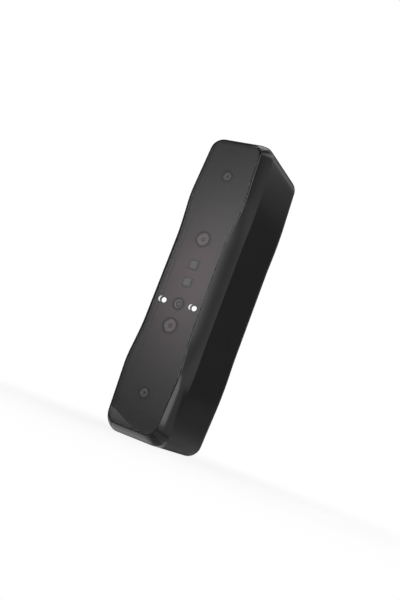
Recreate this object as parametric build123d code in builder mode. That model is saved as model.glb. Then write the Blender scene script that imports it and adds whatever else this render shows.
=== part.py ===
"""Handheld three-d scanner with a waisted glass front, standing on its lower end.

Millimetres. Z runs up the length from the resting end, X is the width, and the glass faces -Y.
Sketches lie in upright planes, measured back from the front of the body and out from mid-length.
"""
import os

from build123d import *

# Outline of the body, seen from the front
LENGTH = 172.0
WIDTH = 41.7
DEPTH = 54.0
WALL = 2.0
END_TAPER = 2.13
SHOULDER_TAPER = 0.1
SHOULDER_REACH = 47.3
SHOULDER_RADIUS = 50.0
WAIST_REACH = 27.2
WAIST_RADIUS = 75.0
WAIST_DRAW = 2.39
BODY_SHOULDER_RADIUS = 250.0
BODY_WAIST_RADIUS = 150.0
BODY_DRAW = 0.7
BODY_CORNER = 8.0

# Bevelled front and the seat of the glass
BEVEL_WIDTH = 3.72
BEVEL_DEPTH = 8.8
CREASE_RADIUS = 4.0
RIM_WIDTH = 0.5
RIM_CORNER = 6.2
LEDGE_WIDTH = 1.6
LEDGE_THICKNESS = 1.4
CAVITY_LEAD = 0.6
GLASS_THICKNESS = 1.2
GLASS_CHAMFER = 0.2
GLASS_GAP = 0.08
ADHESIVE_THICKNESS = 0.2
ADHESIVE_MARGIN = 0.25

# Rounded back shell and its screws
BACK_EDGE_RADIUS = 5.0
SEAM_STRAIGHT = 0.2
COVER_WALL = 2.2
LIP_THICKNESS = 1.0
LIP_DEPTH = 2.0
LIP_GAP = 0.1
COVER_SCREW_EDGE = 2.4
COVER_BOSS_RADIUS = 3.0
COVER_BOSS_LENGTH = 12.0
COVER_WEB_WIDTH = 2.4
COVER_SCREW_LENGTH = 10.0

# Small pan head screws, all of one thread
SHANK_RADIUS = 1.0
HEAD_RADIUS = 1.9
HEAD_HEIGHT = 1.4
HEAD_ROUND = 0.5
KEY_RADIUS = 0.9
KEY_DEPTH = 0.8
THREAD_GAP = 0.05
HOLE_GAP = 0.2
TIP_GAP = 0.5

# Optical bench behind the glass, and its ears
BENCH_GAP = 0.2
BENCH_THICKNESS = 6.6
BENCH_MARGIN = 0.7
BENCH_END = 7.4
EAR_REACH = 38.0
EAR_EDGE = 4.0
EAR_MARGIN = 2.0
EAR_HEIGHT = 5.0
EAR_THICKNESS = 1.8
EAR_BOSS_RADIUS = 2.3
EAR_BOSS_LENGTH = 4.0
EAR_SCREW_LENGTH = 5.0

# Cameras: the far pair is placed from the body's ends, the rest from mid-length
FAR_SETBACK = 23.74
NEAR_REACH = 24.85
COLOUR_DROP = 12.5
FRONT_GAP = 0.55
FAR_BARREL_RADIUS = 2.4
FAR_PUPIL_RADIUS = 0.85
FAR_HOLDER_SIDE = 9.0
NEAR_BARREL_RADIUS = 3.5
NEAR_PUPIL_RADIUS = 1.1
NEAR_HOLDER_SIDE = 11.0
COLOUR_BARREL_RADIUS = 2.45
COLOUR_PUPIL_RADIUS = 1.9
COLOUR_HOLDER_SIDE = 8.5
BARREL_WALL = 0.45
BARREL_FACE = 0.5
BARREL_SEAT = 5.0
HOLDER_LENGTH = 7.5
BOARD_THICKNESS = 1.0
BOARD_MARGIN = 0.5
LENS_THICKNESS = 2.0
LENS_SAG = 0.4
SLIDE_GAP = 0.05
PASS_GAP = 0.1
SEAL_WIDTH = 1.0

# Emitters: two square projectors and a pair of lamps
UPPER_PROJECTOR_RISE = 10.1
LOWER_PROJECTOR_RISE = 0.1
PROJECTOR_SIDE = 5.5
PROJECTOR_WINDOW_SIDE = 3.9
PROJECTOR_WINDOW_THICKNESS = 0.8
PROJECTOR_BOARD_WIDTH = 14.0
PROJECTOR_BOARD_MARGIN = 3.0
SPREADER_THICKNESS = 4.0
SPREADER_SLOT_WIDTH = 1.4
SPREADER_SLOT_DEPTH = 2.6
SPREADER_SLOT_PITCH = 3.4
SPREADER_SLOTS = 4
LED_BOARD_THICKNESS = 0.8
LED_BOARD_HEIGHT = 6.0
LED_BOARD_GAP = 0.2
LED_EDGE = 2.49
LED_RADIUS = 2.1
LED_LENS_RADIUS = 1.4
LED_BASE_HEIGHT = 0.6

# Mainboard, carried on pillars behind the bench
PILLAR_RADIUS = 2.4
PILLAR_EDGE = 3.6
PILLAR_GAP = 0.8
STUD_LENGTH = 4.0
PILLAR_SCREW_LENGTH = 6.0
MAINBOARD_THICKNESS = 1.2
MAINBOARD_SETBACK = 1.0
MAINBOARD_SPACE = 12.8
PROCESSOR_SIDE = 12.0
PROCESSOR_THICKNESS = 1.4
SINK_WIDTH = 22.0
SINK_HEIGHT = 24.0
SINK_BASE = 2.0
SINK_AIR_GAP = 4.0
SINK_CLEARANCE = 3.8
SINK_FIN = 1.2
SINK_FINS = 7

# Flat ribbons and the blocks that they plug into
RIBBON_WIDTH = 6.0
RIBBON_THICKNESS = 0.3
RIBBON_SHIFT = 8.0
RIBBON_BEND_SHARE = 0.35
RIBBON_STEP_SHARE = 0.48
PLUG_WIDTH = 7.0
PLUG_HEIGHT = 2.4
PLUG_THICKNESS = 1.0

# Push keys on the back, and the switches under them
BUTTON_RISE = 18.0
KEY_PITCH = 13.0
LIGHT_RISE = 22.0
DISH_WIDTH = 18.0
DISH_LENGTH = 56.0
DISH_DEPTH = 0.8
BUTTON_SINK = 0.2
BUTTON_ROUND = 0.4
BUTTON_GAP = 0.3
SCAN_BUTTON_RADIUS = 6.0
SMALL_KEY_RADIUS = 3.75
FLANGE_WIDTH = 1.0
FLANGE_THICKNESS = 1.0
BUTTON_TRAVEL = 0.5
SWITCH_SIDE = 6.0
SWITCH_HEIGHT = 3.2
PLUNGER_RADIUS = 1.5
PLUNGER_GAP = 0.1
PLUNGER_LENGTH = 2.7
PLUNGER_ENTRY = 1.3
BUTTON_BOARD_WIDTH = 21.0
BUTTON_BOARD_LENGTH = 64.0
POST_RADIUS = 2.0
POST_EDGE = 2.8
POST_SCREW_LENGTH = 4.2
LIGHT_PIPE_RADIUS = 1.25
LIGHT_CHIP_SIDE = 2.0
LIGHT_CHIP_HEIGHT = 0.7

# Lower end: data socket and tripod thread
SOCKET_WIDTH = 9.0
SOCKET_HEIGHT = 3.2
SOCKET_WALL = 0.3
SOCKET_LENGTH = 7.4
SOCKET_SINK = 0.2
SOCKET_GAP = 0.15
TONGUE_WIDTH = 6.7
TONGUE_THICKNESS = 0.7
TONGUE_LENGTH = 5.0
TONGUE_BASE = 1.5
INSERT_RADIUS = 4.0
INSERT_LENGTH = 9.0
INSERT_FLOOR = 1.0
INSERT_BORE_RADIUS = 2.6
INSERT_CHAMFER = 0.5
INSERT_BOSS_WALL = 2.0

OVERRUN = 1.0
EDGE_TOUCH = 0.01
BACK = (0, 1, 0)
FRONT = (0, -1, 0)
UP = (0, 0, 1)

# Depths of the main planes, back from the front of the body
rim_inset = BEVEL_WIDTH
glass_inset = BEVEL_WIDTH + RIM_WIDTH
aperture_inset = glass_inset + LEDGE_WIDTH
glass_corner = RIM_CORNER - RIM_WIDTH
recess_depth = GLASS_THICKNESS + ADHESIVE_THICKNESS
ledge_back = recess_depth + LEDGE_THICKNESS
cavity_start = BEVEL_DEPTH - CAVITY_LEAD
seam_depth = DEPTH - BACK_EDGE_RADIUS - SEAM_STRAIGHT
cover_inside = DEPTH - COVER_WALL
bench_front = ledge_back + BENCH_GAP
bench_back = bench_front + BENCH_THICKNESS
feature_front = GLASS_THICKNESS + FRONT_GAP
barrel_back = bench_back + BARREL_SEAT
holder_back = bench_back + HOLDER_LENGTH
sensor_back = holder_back + BOARD_THICKNESS
sensor_plug_back = sensor_back + PLUG_THICKNESS
flange_front = cover_inside - FLANGE_THICKNESS
switch_back = flange_front - PLUNGER_LENGTH + PLUNGER_ENTRY
button_board_back = switch_back - SWITCH_HEIGHT
button_board_front = button_board_back - BOARD_THICKNESS
mainboard_back = button_board_front - MAINBOARD_SPACE
mainboard_front = mainboard_back - MAINBOARD_THICKNESS
processor_back = mainboard_back + PROCESSOR_THICKNESS
sink_back = button_board_front - SINK_AIR_GAP

# How the glass and the body narrow at the waist: by how much, and with which bends
front_form = (WAIST_DRAW, SHOULDER_RADIUS, WAIST_RADIUS)
body_form = (BODY_DRAW, BODY_SHOULDER_RADIUS, BODY_WAIST_RADIUS)

# Half sizes and places that follow from them
half_length = LENGTH / 2
far_reach = half_length - FAR_SETBACK
bench_half_width = WIDTH / 2 - WAIST_DRAW - aperture_inset - BENCH_MARGIN
bench_half_length = half_length - BENCH_END
ear_x = WIDTH / 2 - WALL - EAR_EDGE
ear_places = [(x, z) for x in (-ear_x, ear_x) for z in (-EAR_REACH, EAR_REACH)]
cover_screw_x = WIDTH / 2 - END_TAPER - BACK_EDGE_RADIUS - COVER_SCREW_EDGE
cover_screw_z = half_length - BACK_EDGE_RADIUS - COVER_SCREW_EDGE
cover_screw_sides = (-cover_screw_x, cover_screw_x)
cover_screw_places = [(x, z) for x in cover_screw_sides for z in (-cover_screw_z, cover_screw_z)]
pillar_x = bench_half_width - PILLAR_EDGE
pillar_z = (far_reach + NEAR_REACH) / 2
pillar_end = far_reach + FAR_HOLDER_SIDE / 2 + BOARD_MARGIN + PILLAR_RADIUS + PILLAR_GAP
pillar_places = [(x, z) for x in (-pillar_x, pillar_x) for z in (-pillar_z, pillar_z)]
pillar_places += [(0, -pillar_end), (0, pillar_end)]
led_x = bench_half_width - LED_EDGE
led_board_width = 2 * (bench_half_width - LED_BOARD_GAP)
lamp_place = [(0, -COLOUR_DROP)]
projector_rises = {"upper": UPPER_PROJECTOR_RISE, "lower": LOWER_PROJECTOR_RISE}
projector_places = [(0, rise) for rise in projector_rises.values()]
projector_middle = (UPPER_PROJECTOR_RISE + LOWER_PROJECTOR_RISE) / 2
projector_spread = UPPER_PROJECTOR_RISE - LOWER_PROJECTOR_RISE
projector_board_height = projector_spread + PROJECTOR_SIDE + 2 * PROJECTOR_BOARD_MARGIN
mainboard_low = -half_length + WALL + MAINBOARD_SETBACK
mainboard_high = bench_half_length
mainboard_middle = (mainboard_low + mainboard_high) / 2
keys = {
    "scan_button": (BUTTON_RISE, SCAN_BUTTON_RADIUS),
    "plus_key": (BUTTON_RISE + KEY_PITCH, SMALL_KEY_RADIUS),
    "minus_key": (BUTTON_RISE - KEY_PITCH, SMALL_KEY_RADIUS),
}
switch_places = [(0, rise) for rise, _ in keys.values()]
post_x = BUTTON_BOARD_WIDTH / 2 - POST_EDGE
post_z = BUTTON_BOARD_LENGTH / 2 - POST_EDGE
post_places = [(x, BUTTON_RISE + z) for x in (-post_x, post_x) for z in (-post_z, post_z)]
light_place = (0, BUTTON_RISE + LIGHT_RISE)
button_plug_rise = BUTTON_RISE - post_z
processor_place = (0, button_plug_rise - SINK_CLEARANCE - SINK_HEIGHT / 2)
socket_depth = mainboard_back + SOCKET_HEIGHT / 2
tripod_depth = (bench_back + mainboard_front) / 2
insert_boss_radius = INSERT_RADIUS + INSERT_BOSS_WALL
insert_pocket = INSERT_LENGTH + INSERT_FLOOR

# Each camera's rise, barrel radius, pupil radius and holder side
far_sizes = (FAR_BARREL_RADIUS, FAR_PUPIL_RADIUS, FAR_HOLDER_SIDE)
near_sizes = (NEAR_BARREL_RADIUS, NEAR_PUPIL_RADIUS, NEAR_HOLDER_SIDE)
colour_sizes = (COLOUR_BARREL_RADIUS, COLOUR_PUPIL_RADIUS, COLOUR_HOLDER_SIDE)
cameras = {
    "upper_far": (far_reach, *far_sizes),
    "upper_near": (NEAR_REACH, *near_sizes),
    "colour": (-COLOUR_DROP, *colour_sizes),
    "lower_near": (-NEAR_REACH, *near_sizes),
    "lower_far": (-far_reach, *far_sizes),
}
# Which way each camera's ribbon steps along the body on its way to the mainboard
ribbon_steps = {"upper_far": -1, "upper_near": 1, "colour": 1, "lower_near": -1, "lower_far": 1}


def slab(depth):
    """Upright plane at a depth behind the front of the body, centred at mid-length, seen from the front."""
    return Plane(origin=(0, depth - DEPTH / 2, half_length), x_dir=(1, 0, 0), z_dir=FRONT)


def floor_plane(rise):
    """Level plane at a height above the resting end, its y axis running to the back."""
    return Plane(origin=(0, -DEPTH / 2, rise), x_dir=(1, 0, 0), z_dir=UP)


def outline(depth, inset, form, corner):
    """Face inside the body's outline drawn in by inset, and by the form's draw more at the waist."""
    waist_draw, shoulder_radius, waist_radius = form
    middle = WIDTH / 2 - inset
    quarter = [
        (middle - END_TAPER, half_length - inset),
        (middle - SHOULDER_TAPER, SHOULDER_REACH),
        (middle - waist_draw, WAIST_REACH),
    ]
    right = quarter + [(x, -z) for x, z in reversed(quarter)]
    left = [(-x, -z) for x, z in right]
    bends = [corner, shoulder_radius, waist_radius]
    with BuildSketch(slab(depth)) as drawn:
        with BuildLine():
            FilletPolyline(*right, *left, radius=(bends + bends[::-1]) * 2, close=True)
        make_face()
    return drawn.sketch


def discs(depth, radius, places):
    """Round faces at places (x, z) in an upright plane."""
    with BuildSketch(slab(depth)) as drawn:
        with Locations(*places):
            Circle(radius)
    return drawn.sketch


def plates(depth, width, height, places):
    """Rectangular faces at places (x, z) in an upright plane."""
    with BuildSketch(slab(depth)) as drawn:
        with Locations(*places):
            Rectangle(width, height)
    return drawn.sketch


def cut(profile, amount, towards):
    """Take an extruded profile out of the piece that is being made."""
    extrude(profile, amount=amount, dir=towards, mode=Mode.SUBTRACT)


def screws(places, seat, length, towards):
    """Group of pan head screws whose heads sit at depth seat and whose shanks point one way."""
    away = FRONT if towards == BACK else BACK
    head_top = seat + HEAD_HEIGHT * away[1]
    with BuildPart() as group:
        extrude(discs(seat, HEAD_RADIUS, places), amount=HEAD_HEIGHT, dir=away)
        fillet(group.edges().filter_by_position(Axis.Y, *edge_band(head_top)), radius=HEAD_ROUND)
        extrude(discs(seat, SHANK_RADIUS, places), amount=length, dir=towards)
        with BuildSketch(slab(head_top)):
            with Locations(*places):
                RegularPolygon(KEY_RADIUS, side_count=6)
        extrude(amount=KEY_DEPTH, dir=towards, mode=Mode.SUBTRACT)
    return group.part


def edge_band(depth):
    """Lowest and highest y of edges that lie in the upright plane at a depth."""
    y = depth - DEPTH / 2
    return y - EDGE_TOUCH, y + EDGE_TOUCH


def ribbon(start, end, rise, step):
    """Flat ribbon that leaves one plug, steps along the body half way, and meets the other plug square."""
    middle = (start + end) / 2
    bend = min((end - start) * RIBBON_BEND_SHARE, abs(step) * RIBBON_STEP_SHARE)
    side = Plane(origin=(0, -DEPTH / 2, half_length), x_dir=BACK, z_dir=(1, 0, 0))
    points = [(start, rise), (middle, rise), (middle, rise + step), (end, rise + step)]
    with BuildPart() as flat:
        with BuildSketch(side):
            with BuildLine():
                FilletPolyline(*points, radius=bend)
            trace(line_width=RIBBON_THICKNESS)
        extrude(amount=RIBBON_WIDTH / 2, both=True)
    return flat.part


def save(part, name):
    """Label a finished piece and write it under its own name."""
    part.label = name
    export_step(part, f"parts/{name}.step")


os.makedirs("parts", exist_ok=True)

# Main housing: bevelled front, sides and both ends in one moulding, open at the back
with BuildPart() as main_housing:
    rim = outline(0, rim_inset, front_form, RIM_CORNER)
    crease = outline(BEVEL_DEPTH, 0, body_form, BODY_CORNER)
    loft([rim, crease], ruled=True)
    extrude(crease, amount=seam_depth - BEVEL_DEPTH, dir=BACK)
    crease_edges = main_housing.edges().filter_by_position(Axis.Y, *edge_band(BEVEL_DEPTH))
    straight_runs = [edge.length for edge in crease_edges.filter_by(GeomType.LINE)]
    fillet(crease_edges, radius=min(CREASE_RADIUS, *straight_runs))
    cut(outline(0, glass_inset, front_form, glass_corner), recess_depth, BACK)
    aperture_corner = glass_corner / 2
    cut(outline(0, aperture_inset, front_form, aperture_corner), ledge_back, BACK)
    inner_corner = BODY_CORNER - WALL
    ledge_edge = outline(ledge_back, aperture_inset, front_form, aperture_corner)
    inner_wall = outline(cavity_start, WALL, body_form, inner_corner)
    loft([ledge_edge, inner_wall], ruled=True, mode=Mode.SUBTRACT)
    cut(inner_wall, seam_depth - cavity_start, BACK)
    # Bosses that the optical bench is screwed to
    ear_front = bench_back - EAR_THICKNESS
    extrude(discs(ear_front, EAR_BOSS_RADIUS, ear_places), amount=EAR_BOSS_LENGTH, dir=FRONT)
    ear_hole = EAR_SCREW_LENGTH - EAR_THICKNESS + TIP_GAP
    cut(discs(ear_front, SHANK_RADIUS + THREAD_GAP, ear_places), ear_hole, FRONT)
    # Bosses for the rear cover, each webbed to the end wall below the cover's lip
    extrude(discs(seam_depth, COVER_BOSS_RADIUS, cover_screw_places), amount=COVER_BOSS_LENGTH, dir=FRONT)
    web_back = seam_depth - LIP_DEPTH - TIP_GAP
    web_reach = half_length - WALL / 2 - cover_screw_z
    web_z = cover_screw_z + web_reach / 2
    web_places = [(x, z) for x in cover_screw_sides for z in (-web_z, web_z)]
    web_length = COVER_BOSS_LENGTH - LIP_DEPTH - TIP_GAP
    extrude(plates(web_back, COVER_WEB_WIDTH, web_reach, web_places), amount=web_length, dir=FRONT)
    cover_hole = COVER_SCREW_LENGTH + TIP_GAP
    cut(discs(seam_depth, SHANK_RADIUS + THREAD_GAP, cover_screw_places), cover_hole, FRONT)
    # Boss and pocket for the tripod insert, and the slot for the data socket
    with BuildSketch(floor_plane(WALL / 2)):
        with Locations((0, tripod_depth)):
            Circle(insert_boss_radius)
    extrude(amount=insert_pocket + INSERT_FLOOR - WALL / 2)
    with BuildSketch(floor_plane(0)):
        with Locations((0, tripod_depth)):
            Circle(INSERT_RADIUS + SLIDE_GAP)
    extrude(amount=insert_pocket, mode=Mode.SUBTRACT)
    with BuildSketch(floor_plane(0)):
        with Locations((0, socket_depth)):
            SlotOverall(SOCKET_WIDTH + 2 * SOCKET_GAP, SOCKET_HEIGHT + 2 * SOCKET_GAP)
    extrude(amount=WALL + OVERRUN, mode=Mode.SUBTRACT)
save(main_housing.part, "main_housing")

# Rear cover: shallow shell with the rounded back edge, its lip set inside the housing
with BuildPart() as rear_cover:
    back_edge = outline(seam_depth, 0, body_form, BODY_CORNER)
    extrude(back_edge, amount=DEPTH - seam_depth, dir=BACK)
    fillet(rear_cover.edges().group_by(Axis.Y)[-1], radius=BACK_EDGE_RADIUS)
    lip_inset = WALL + LIP_GAP
    lip = outline(seam_depth, lip_inset, body_form, BODY_CORNER - lip_inset)
    extrude(lip, amount=LIP_DEPTH, dir=FRONT)
    hollow_inset = lip_inset + LIP_THICKNESS
    hollow_front = seam_depth - LIP_DEPTH
    hollow = outline(hollow_front, hollow_inset, body_form, BODY_CORNER - hollow_inset)
    cut(hollow, cover_inside - hollow_front, BACK)
    # Screw bosses, their holes and the wells that take the heads
    cover_bosses = discs(seam_depth, COVER_BOSS_RADIUS, cover_screw_places)
    extrude(cover_bosses, amount=cover_inside - seam_depth, dir=BACK)
    cut(discs(seam_depth, SHANK_RADIUS + HOLE_GAP, cover_screw_places), DEPTH - seam_depth + OVERRUN, BACK)
    cut(discs(cover_inside, HEAD_RADIUS + HOLE_GAP, cover_screw_places), COVER_WALL + OVERRUN, BACK)
    # Dish round the keys, with their holes and the hole of the light pipe
    with BuildSketch(slab(DEPTH - DISH_DEPTH)):
        with Locations((0, BUTTON_RISE)):
            SlotOverall(DISH_LENGTH, DISH_WIDTH, rotation=90)
    extrude(amount=DISH_DEPTH + OVERRUN, dir=BACK, mode=Mode.SUBTRACT)
    for rise, radius in keys.values():
        hole = discs(cover_inside - OVERRUN, radius + BUTTON_GAP, [(0, rise)])
        cut(hole, COVER_WALL + 2 * OVERRUN, BACK)
    pipe_hole = discs(cover_inside - OVERRUN, LIGHT_PIPE_RADIUS + SLIDE_GAP, [light_place])
    cut(pipe_hole, COVER_WALL + 2 * OVERRUN, BACK)
    # Posts that carry the button board
    posts = discs(button_board_back, POST_RADIUS, post_places)
    extrude(posts, amount=cover_inside - button_board_back, dir=BACK)
    post_hole = POST_SCREW_LENGTH - BOARD_THICKNESS + TIP_GAP
    cut(discs(button_board_back, SHANK_RADIUS + THREAD_GAP, post_places), post_hole, BACK)
save(rear_cover.part, "rear_cover")
cover_screw_shank = COVER_SCREW_LENGTH + cover_inside - seam_depth
save(screws(cover_screw_places, cover_inside, cover_screw_shank, FRONT), "rear_cover_screws")

# Front window: dark glass, flush with the rim, held by a loop of adhesive on the ledge
with BuildPart() as front_window:
    pane = outline(0, glass_inset + GLASS_GAP, front_form, glass_corner)
    extrude(pane, amount=GLASS_THICKNESS, dir=BACK)
    chamfer(front_window.edges().group_by(Axis.Y)[0], length=GLASS_CHAMFER)
save(front_window.part, "front_window")

with BuildPart() as window_adhesive:
    outer_inset = glass_inset + GLASS_GAP + ADHESIVE_MARGIN
    inner_inset = aperture_inset - ADHESIVE_MARGIN
    loop = outline(GLASS_THICKNESS, outer_inset, front_form, glass_corner)
    extrude(loop, amount=ADHESIVE_THICKNESS, dir=BACK)
    cut(outline(GLASS_THICKNESS, inner_inset, front_form, aperture_corner), ADHESIVE_THICKNESS, BACK)
save(window_adhesive.part, "window_adhesive")

# Optical frame: thick metal bench that keeps the cameras true to each other
with BuildPart() as optical_frame:
    bench = plates(bench_front, 2 * bench_half_width, 2 * bench_half_length, [(0, 0)])
    extrude(bench, amount=BENCH_THICKNESS, dir=BACK)
    ear_span = 2 * (ear_x + EAR_MARGIN)
    ears = plates(ear_front, ear_span, EAR_HEIGHT, [(0, -EAR_REACH), (0, EAR_REACH)])
    extrude(ears, amount=EAR_THICKNESS, dir=BACK)
    cut(discs(ear_front, SHANK_RADIUS + HOLE_GAP, ear_places), EAR_THICKNESS, BACK)
    for rise, barrel_radius, _, _ in cameras.values():
        cut(discs(bench_front, barrel_radius + PASS_GAP, [(0, rise)]), BENCH_THICKNESS, BACK)
    projector_hole = PROJECTOR_SIDE + 2 * PASS_GAP
    cut(plates(bench_front, projector_hole, projector_hole, projector_places), BENCH_THICKNESS, BACK)
    pocket_height = LED_BOARD_HEIGHT + 2 * LED_BOARD_GAP
    pocket = plates(bench_front, 2 * bench_half_width + OVERRUN, pocket_height, lamp_place)
    cut(pocket, LED_BOARD_THICKNESS, BACK)
    cut(discs(bench_back, SHANK_RADIUS + THREAD_GAP, pillar_places), STUD_LENGTH + TIP_GAP, FRONT)
save(optical_frame.part, "optical_frame")
save(screws(ear_places, bench_back, EAR_SCREW_LENGTH, FRONT), "optical_frame_screws")

# Cameras: a holder glued behind the bench, a barrel through it, a front lens and a sensor board
for name, (rise, barrel_radius, pupil_radius, holder_side) in cameras.items():
    place = [(0, rise)]
    bore_radius = barrel_radius - BARREL_WALL
    with BuildPart() as holder:
        block = plates(bench_back, holder_side, holder_side, place)
        extrude(block, amount=HOLDER_LENGTH, dir=BACK)
        cut(discs(bench_back, barrel_radius + SLIDE_GAP, place), BARREL_SEAT, BACK)
        cut(discs(barrel_back, bore_radius, place), HOLDER_LENGTH, BACK)
    save(holder.part, f"{name}_camera_holder")

    with BuildPart() as barrel:
        tube = discs(feature_front, barrel_radius, place)
        extrude(tube, amount=barrel_back - feature_front, dir=BACK)
        cut(discs(feature_front, pupil_radius, place), BARREL_FACE, BACK)
        lens_seat = feature_front + BARREL_FACE
        cut(discs(lens_seat, bore_radius, place), barrel_back - lens_seat, BACK)
    save(barrel.part, f"{name}_lens_barrel")

    with BuildPart() as lens:
        lens_radius = bore_radius - SLIDE_GAP
        apex = (0, lens_seat - DEPTH / 2, half_length + rise)
        with BuildSketch(Plane(origin=apex, x_dir=(1, 0, 0), z_dir=(0, 0, 1))):
            with BuildLine():
                TangentArc((0, 0), (lens_radius, LENS_SAG), tangent=(1, 0))
                rim_points = [(lens_radius, LENS_SAG), (lens_radius, LENS_THICKNESS), (0, LENS_THICKNESS)]
                Polyline(*rim_points, (0, 0))
            make_face()
        revolve(axis=Axis(apex, BACK))
    save(lens.part, f"{name}_front_lens")

    with BuildPart() as sensor_board:
        board_side = holder_side + 2 * BOARD_MARGIN
        extrude(plates(holder_back, board_side, board_side, place), amount=BOARD_THICKNESS, dir=BACK)
        extrude(plates(sensor_back, PLUG_WIDTH, PLUG_HEIGHT, place), amount=PLUG_THICKNESS, dir=BACK)
    save(sensor_board.part, f"{name}_sensor_board")

# Light seals: foam rings that fill the gap between the bench and the glass round each barrel
with BuildPart() as light_seals:
    seal_height = bench_front - GLASS_THICKNESS
    for rise, barrel_radius, _, _ in cameras.values():
        place = [(0, rise)]
        seal_bore = barrel_radius + PASS_GAP
        extrude(discs(GLASS_THICKNESS, seal_bore + SEAL_WIDTH, place), amount=seal_height, dir=BACK)
        cut(discs(GLASS_THICKNESS, seal_bore, place), seal_height, BACK)
save(light_seals.part, "light_seals")

# Infrared projectors: square packages through the bench, each with a clear window in its face
for name, rise in projector_rises.items():
    place = [(0, rise)]
    window_well = PROJECTOR_WINDOW_SIDE + 2 * SLIDE_GAP
    with BuildPart() as projector:
        package = plates(feature_front, PROJECTOR_SIDE, PROJECTOR_SIDE, place)
        extrude(package, amount=bench_back - feature_front, dir=BACK)
        cut(plates(feature_front, window_well, window_well, place), PROJECTOR_WINDOW_THICKNESS, BACK)
    save(projector.part, f"{name}_projector")

    with BuildPart() as projector_window:
        window_face = plates(feature_front, PROJECTOR_WINDOW_SIDE, PROJECTOR_WINDOW_SIDE, place)
        extrude(window_face, amount=PROJECTOR_WINDOW_THICKNESS, dir=BACK)
    save(projector_window.part, f"{name}_projector_window")

# Board behind the projectors, and the slotted metal block that carries their heat away
projector_board_back = bench_back + BOARD_THICKNESS
board_sizes = (PROJECTOR_BOARD_WIDTH, projector_board_height)
projector_board_place = [(0, projector_middle)]
with BuildPart() as projector_board:
    board = plates(bench_back, *board_sizes, projector_board_place)
    extrude(board, amount=BOARD_THICKNESS, dir=BACK)
save(projector_board.part, "projector_board")

with BuildPart() as heat_spreader:
    block = plates(projector_board_back, *board_sizes, projector_board_place)
    extrude(block, amount=SPREADER_THICKNESS, dir=BACK)
    with BuildSketch(slab(projector_board_back + SPREADER_THICKNESS)):
        with Locations(*projector_board_place):
            with GridLocations(0, SPREADER_SLOT_PITCH, 1, SPREADER_SLOTS):
                Rectangle(PROJECTOR_BOARD_WIDTH + OVERRUN, SPREADER_SLOT_WIDTH)
    extrude(amount=SPREADER_SLOT_DEPTH, dir=FRONT, mode=Mode.SUBTRACT)
save(heat_spreader.part, "heat_spreader")

# Lamp board across the bench, and the two lamps on it
with BuildPart() as led_board:
    board = plates(bench_front, led_board_width, LED_BOARD_HEIGHT, lamp_place)
    extrude(board, amount=LED_BOARD_THICKNESS, dir=BACK)
    cut(discs(bench_front, COLOUR_BARREL_RADIUS + PASS_GAP, lamp_place), LED_BOARD_THICKNESS, BACK)
save(led_board.part, "led_board")

for name, x in (("left", -led_x), ("right", led_x)):
    place = [(x, -COLOUR_DROP)]
    with BuildPart() as fill_led:
        extrude(discs(bench_front, LED_RADIUS, place), amount=LED_BASE_HEIGHT, dir=FRONT)
        extrude(discs(bench_front, LED_LENS_RADIUS, place), amount=bench_front - feature_front, dir=FRONT)
    save(fill_led.part, f"{name}_fill_led")

# Pillars screwed into the bench, the mainboard on them, and its screws
with BuildPart() as board_standoffs:
    with BuildSketch(slab(bench_back)):
        with Locations(*pillar_places):
            RegularPolygon(PILLAR_RADIUS, side_count=6)
    extrude(amount=mainboard_front - bench_back, dir=BACK)
    extrude(discs(bench_back, SHANK_RADIUS, pillar_places), amount=STUD_LENGTH, dir=FRONT)
    pillar_hole = PILLAR_SCREW_LENGTH - MAINBOARD_THICKNESS + TIP_GAP
    cut(discs(mainboard_front, SHANK_RADIUS + THREAD_GAP, pillar_places), pillar_hole, FRONT)
save(board_standoffs.part, "board_standoffs")

with BuildPart() as mainboard:
    mainboard_length = mainboard_high - mainboard_low
    board = plates(mainboard_front, 2 * bench_half_width, mainboard_length, [(0, mainboard_middle)])
    extrude(board, amount=MAINBOARD_THICKNESS, dir=BACK)
    cut(discs(mainboard_front, SHANK_RADIUS + HOLE_GAP, pillar_places), MAINBOARD_THICKNESS, BACK)
save(mainboard.part, "mainboard")
save(screws(pillar_places, mainboard_back, PILLAR_SCREW_LENGTH, FRONT), "mainboard_screws")

# Processor and the finned heat sink on its back
with BuildPart() as processor:
    chip = plates(mainboard_back, PROCESSOR_SIDE, PROCESSOR_SIDE, [processor_place])
    extrude(chip, amount=PROCESSOR_THICKNESS, dir=BACK)
save(processor.part, "processor")

with BuildPart() as heat_sink:
    fin_pitch = (SINK_WIDTH - SINK_FIN) / (SINK_FINS - 1)
    extrude(plates(processor_back, SINK_WIDTH, SINK_HEIGHT, [processor_place]), amount=SINK_BASE, dir=BACK)
    with BuildSketch(slab(processor_back)):
        with Locations(processor_place):
            with GridLocations(fin_pitch, 0, SINK_FINS, 1):
                Rectangle(SINK_FIN, SINK_HEIGHT)
    extrude(amount=sink_back - processor_back, dir=BACK)
save(heat_sink.part, "heat_sink")

# Plugs on both sides of the mainboard, and the ribbons that run to them
plug_places = [(0, cameras[name][0] + ribbon_steps[name] * RIBBON_SHIFT) for name in cameras]
button_plug_place = (0, button_plug_rise + RIBBON_SHIFT)
with BuildPart() as mainboard_connectors:
    camera_plugs = plates(mainboard_front, PLUG_WIDTH, PLUG_HEIGHT, plug_places)
    extrude(camera_plugs, amount=PLUG_THICKNESS, dir=FRONT)
    button_plug = plates(mainboard_back, PLUG_WIDTH, PLUG_HEIGHT, [button_plug_place])
    extrude(button_plug, amount=PLUG_THICKNESS, dir=BACK)
save(mainboard_connectors.part, "mainboard_connectors")

ribbon_end = mainboard_front - PLUG_THICKNESS
with BuildPart() as camera_ribbons:
    for name, (rise, _, _, _) in cameras.items():
        add(ribbon(sensor_plug_back, ribbon_end, rise, ribbon_steps[name] * RIBBON_SHIFT))
save(camera_ribbons.part, "camera_ribbons")

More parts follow.
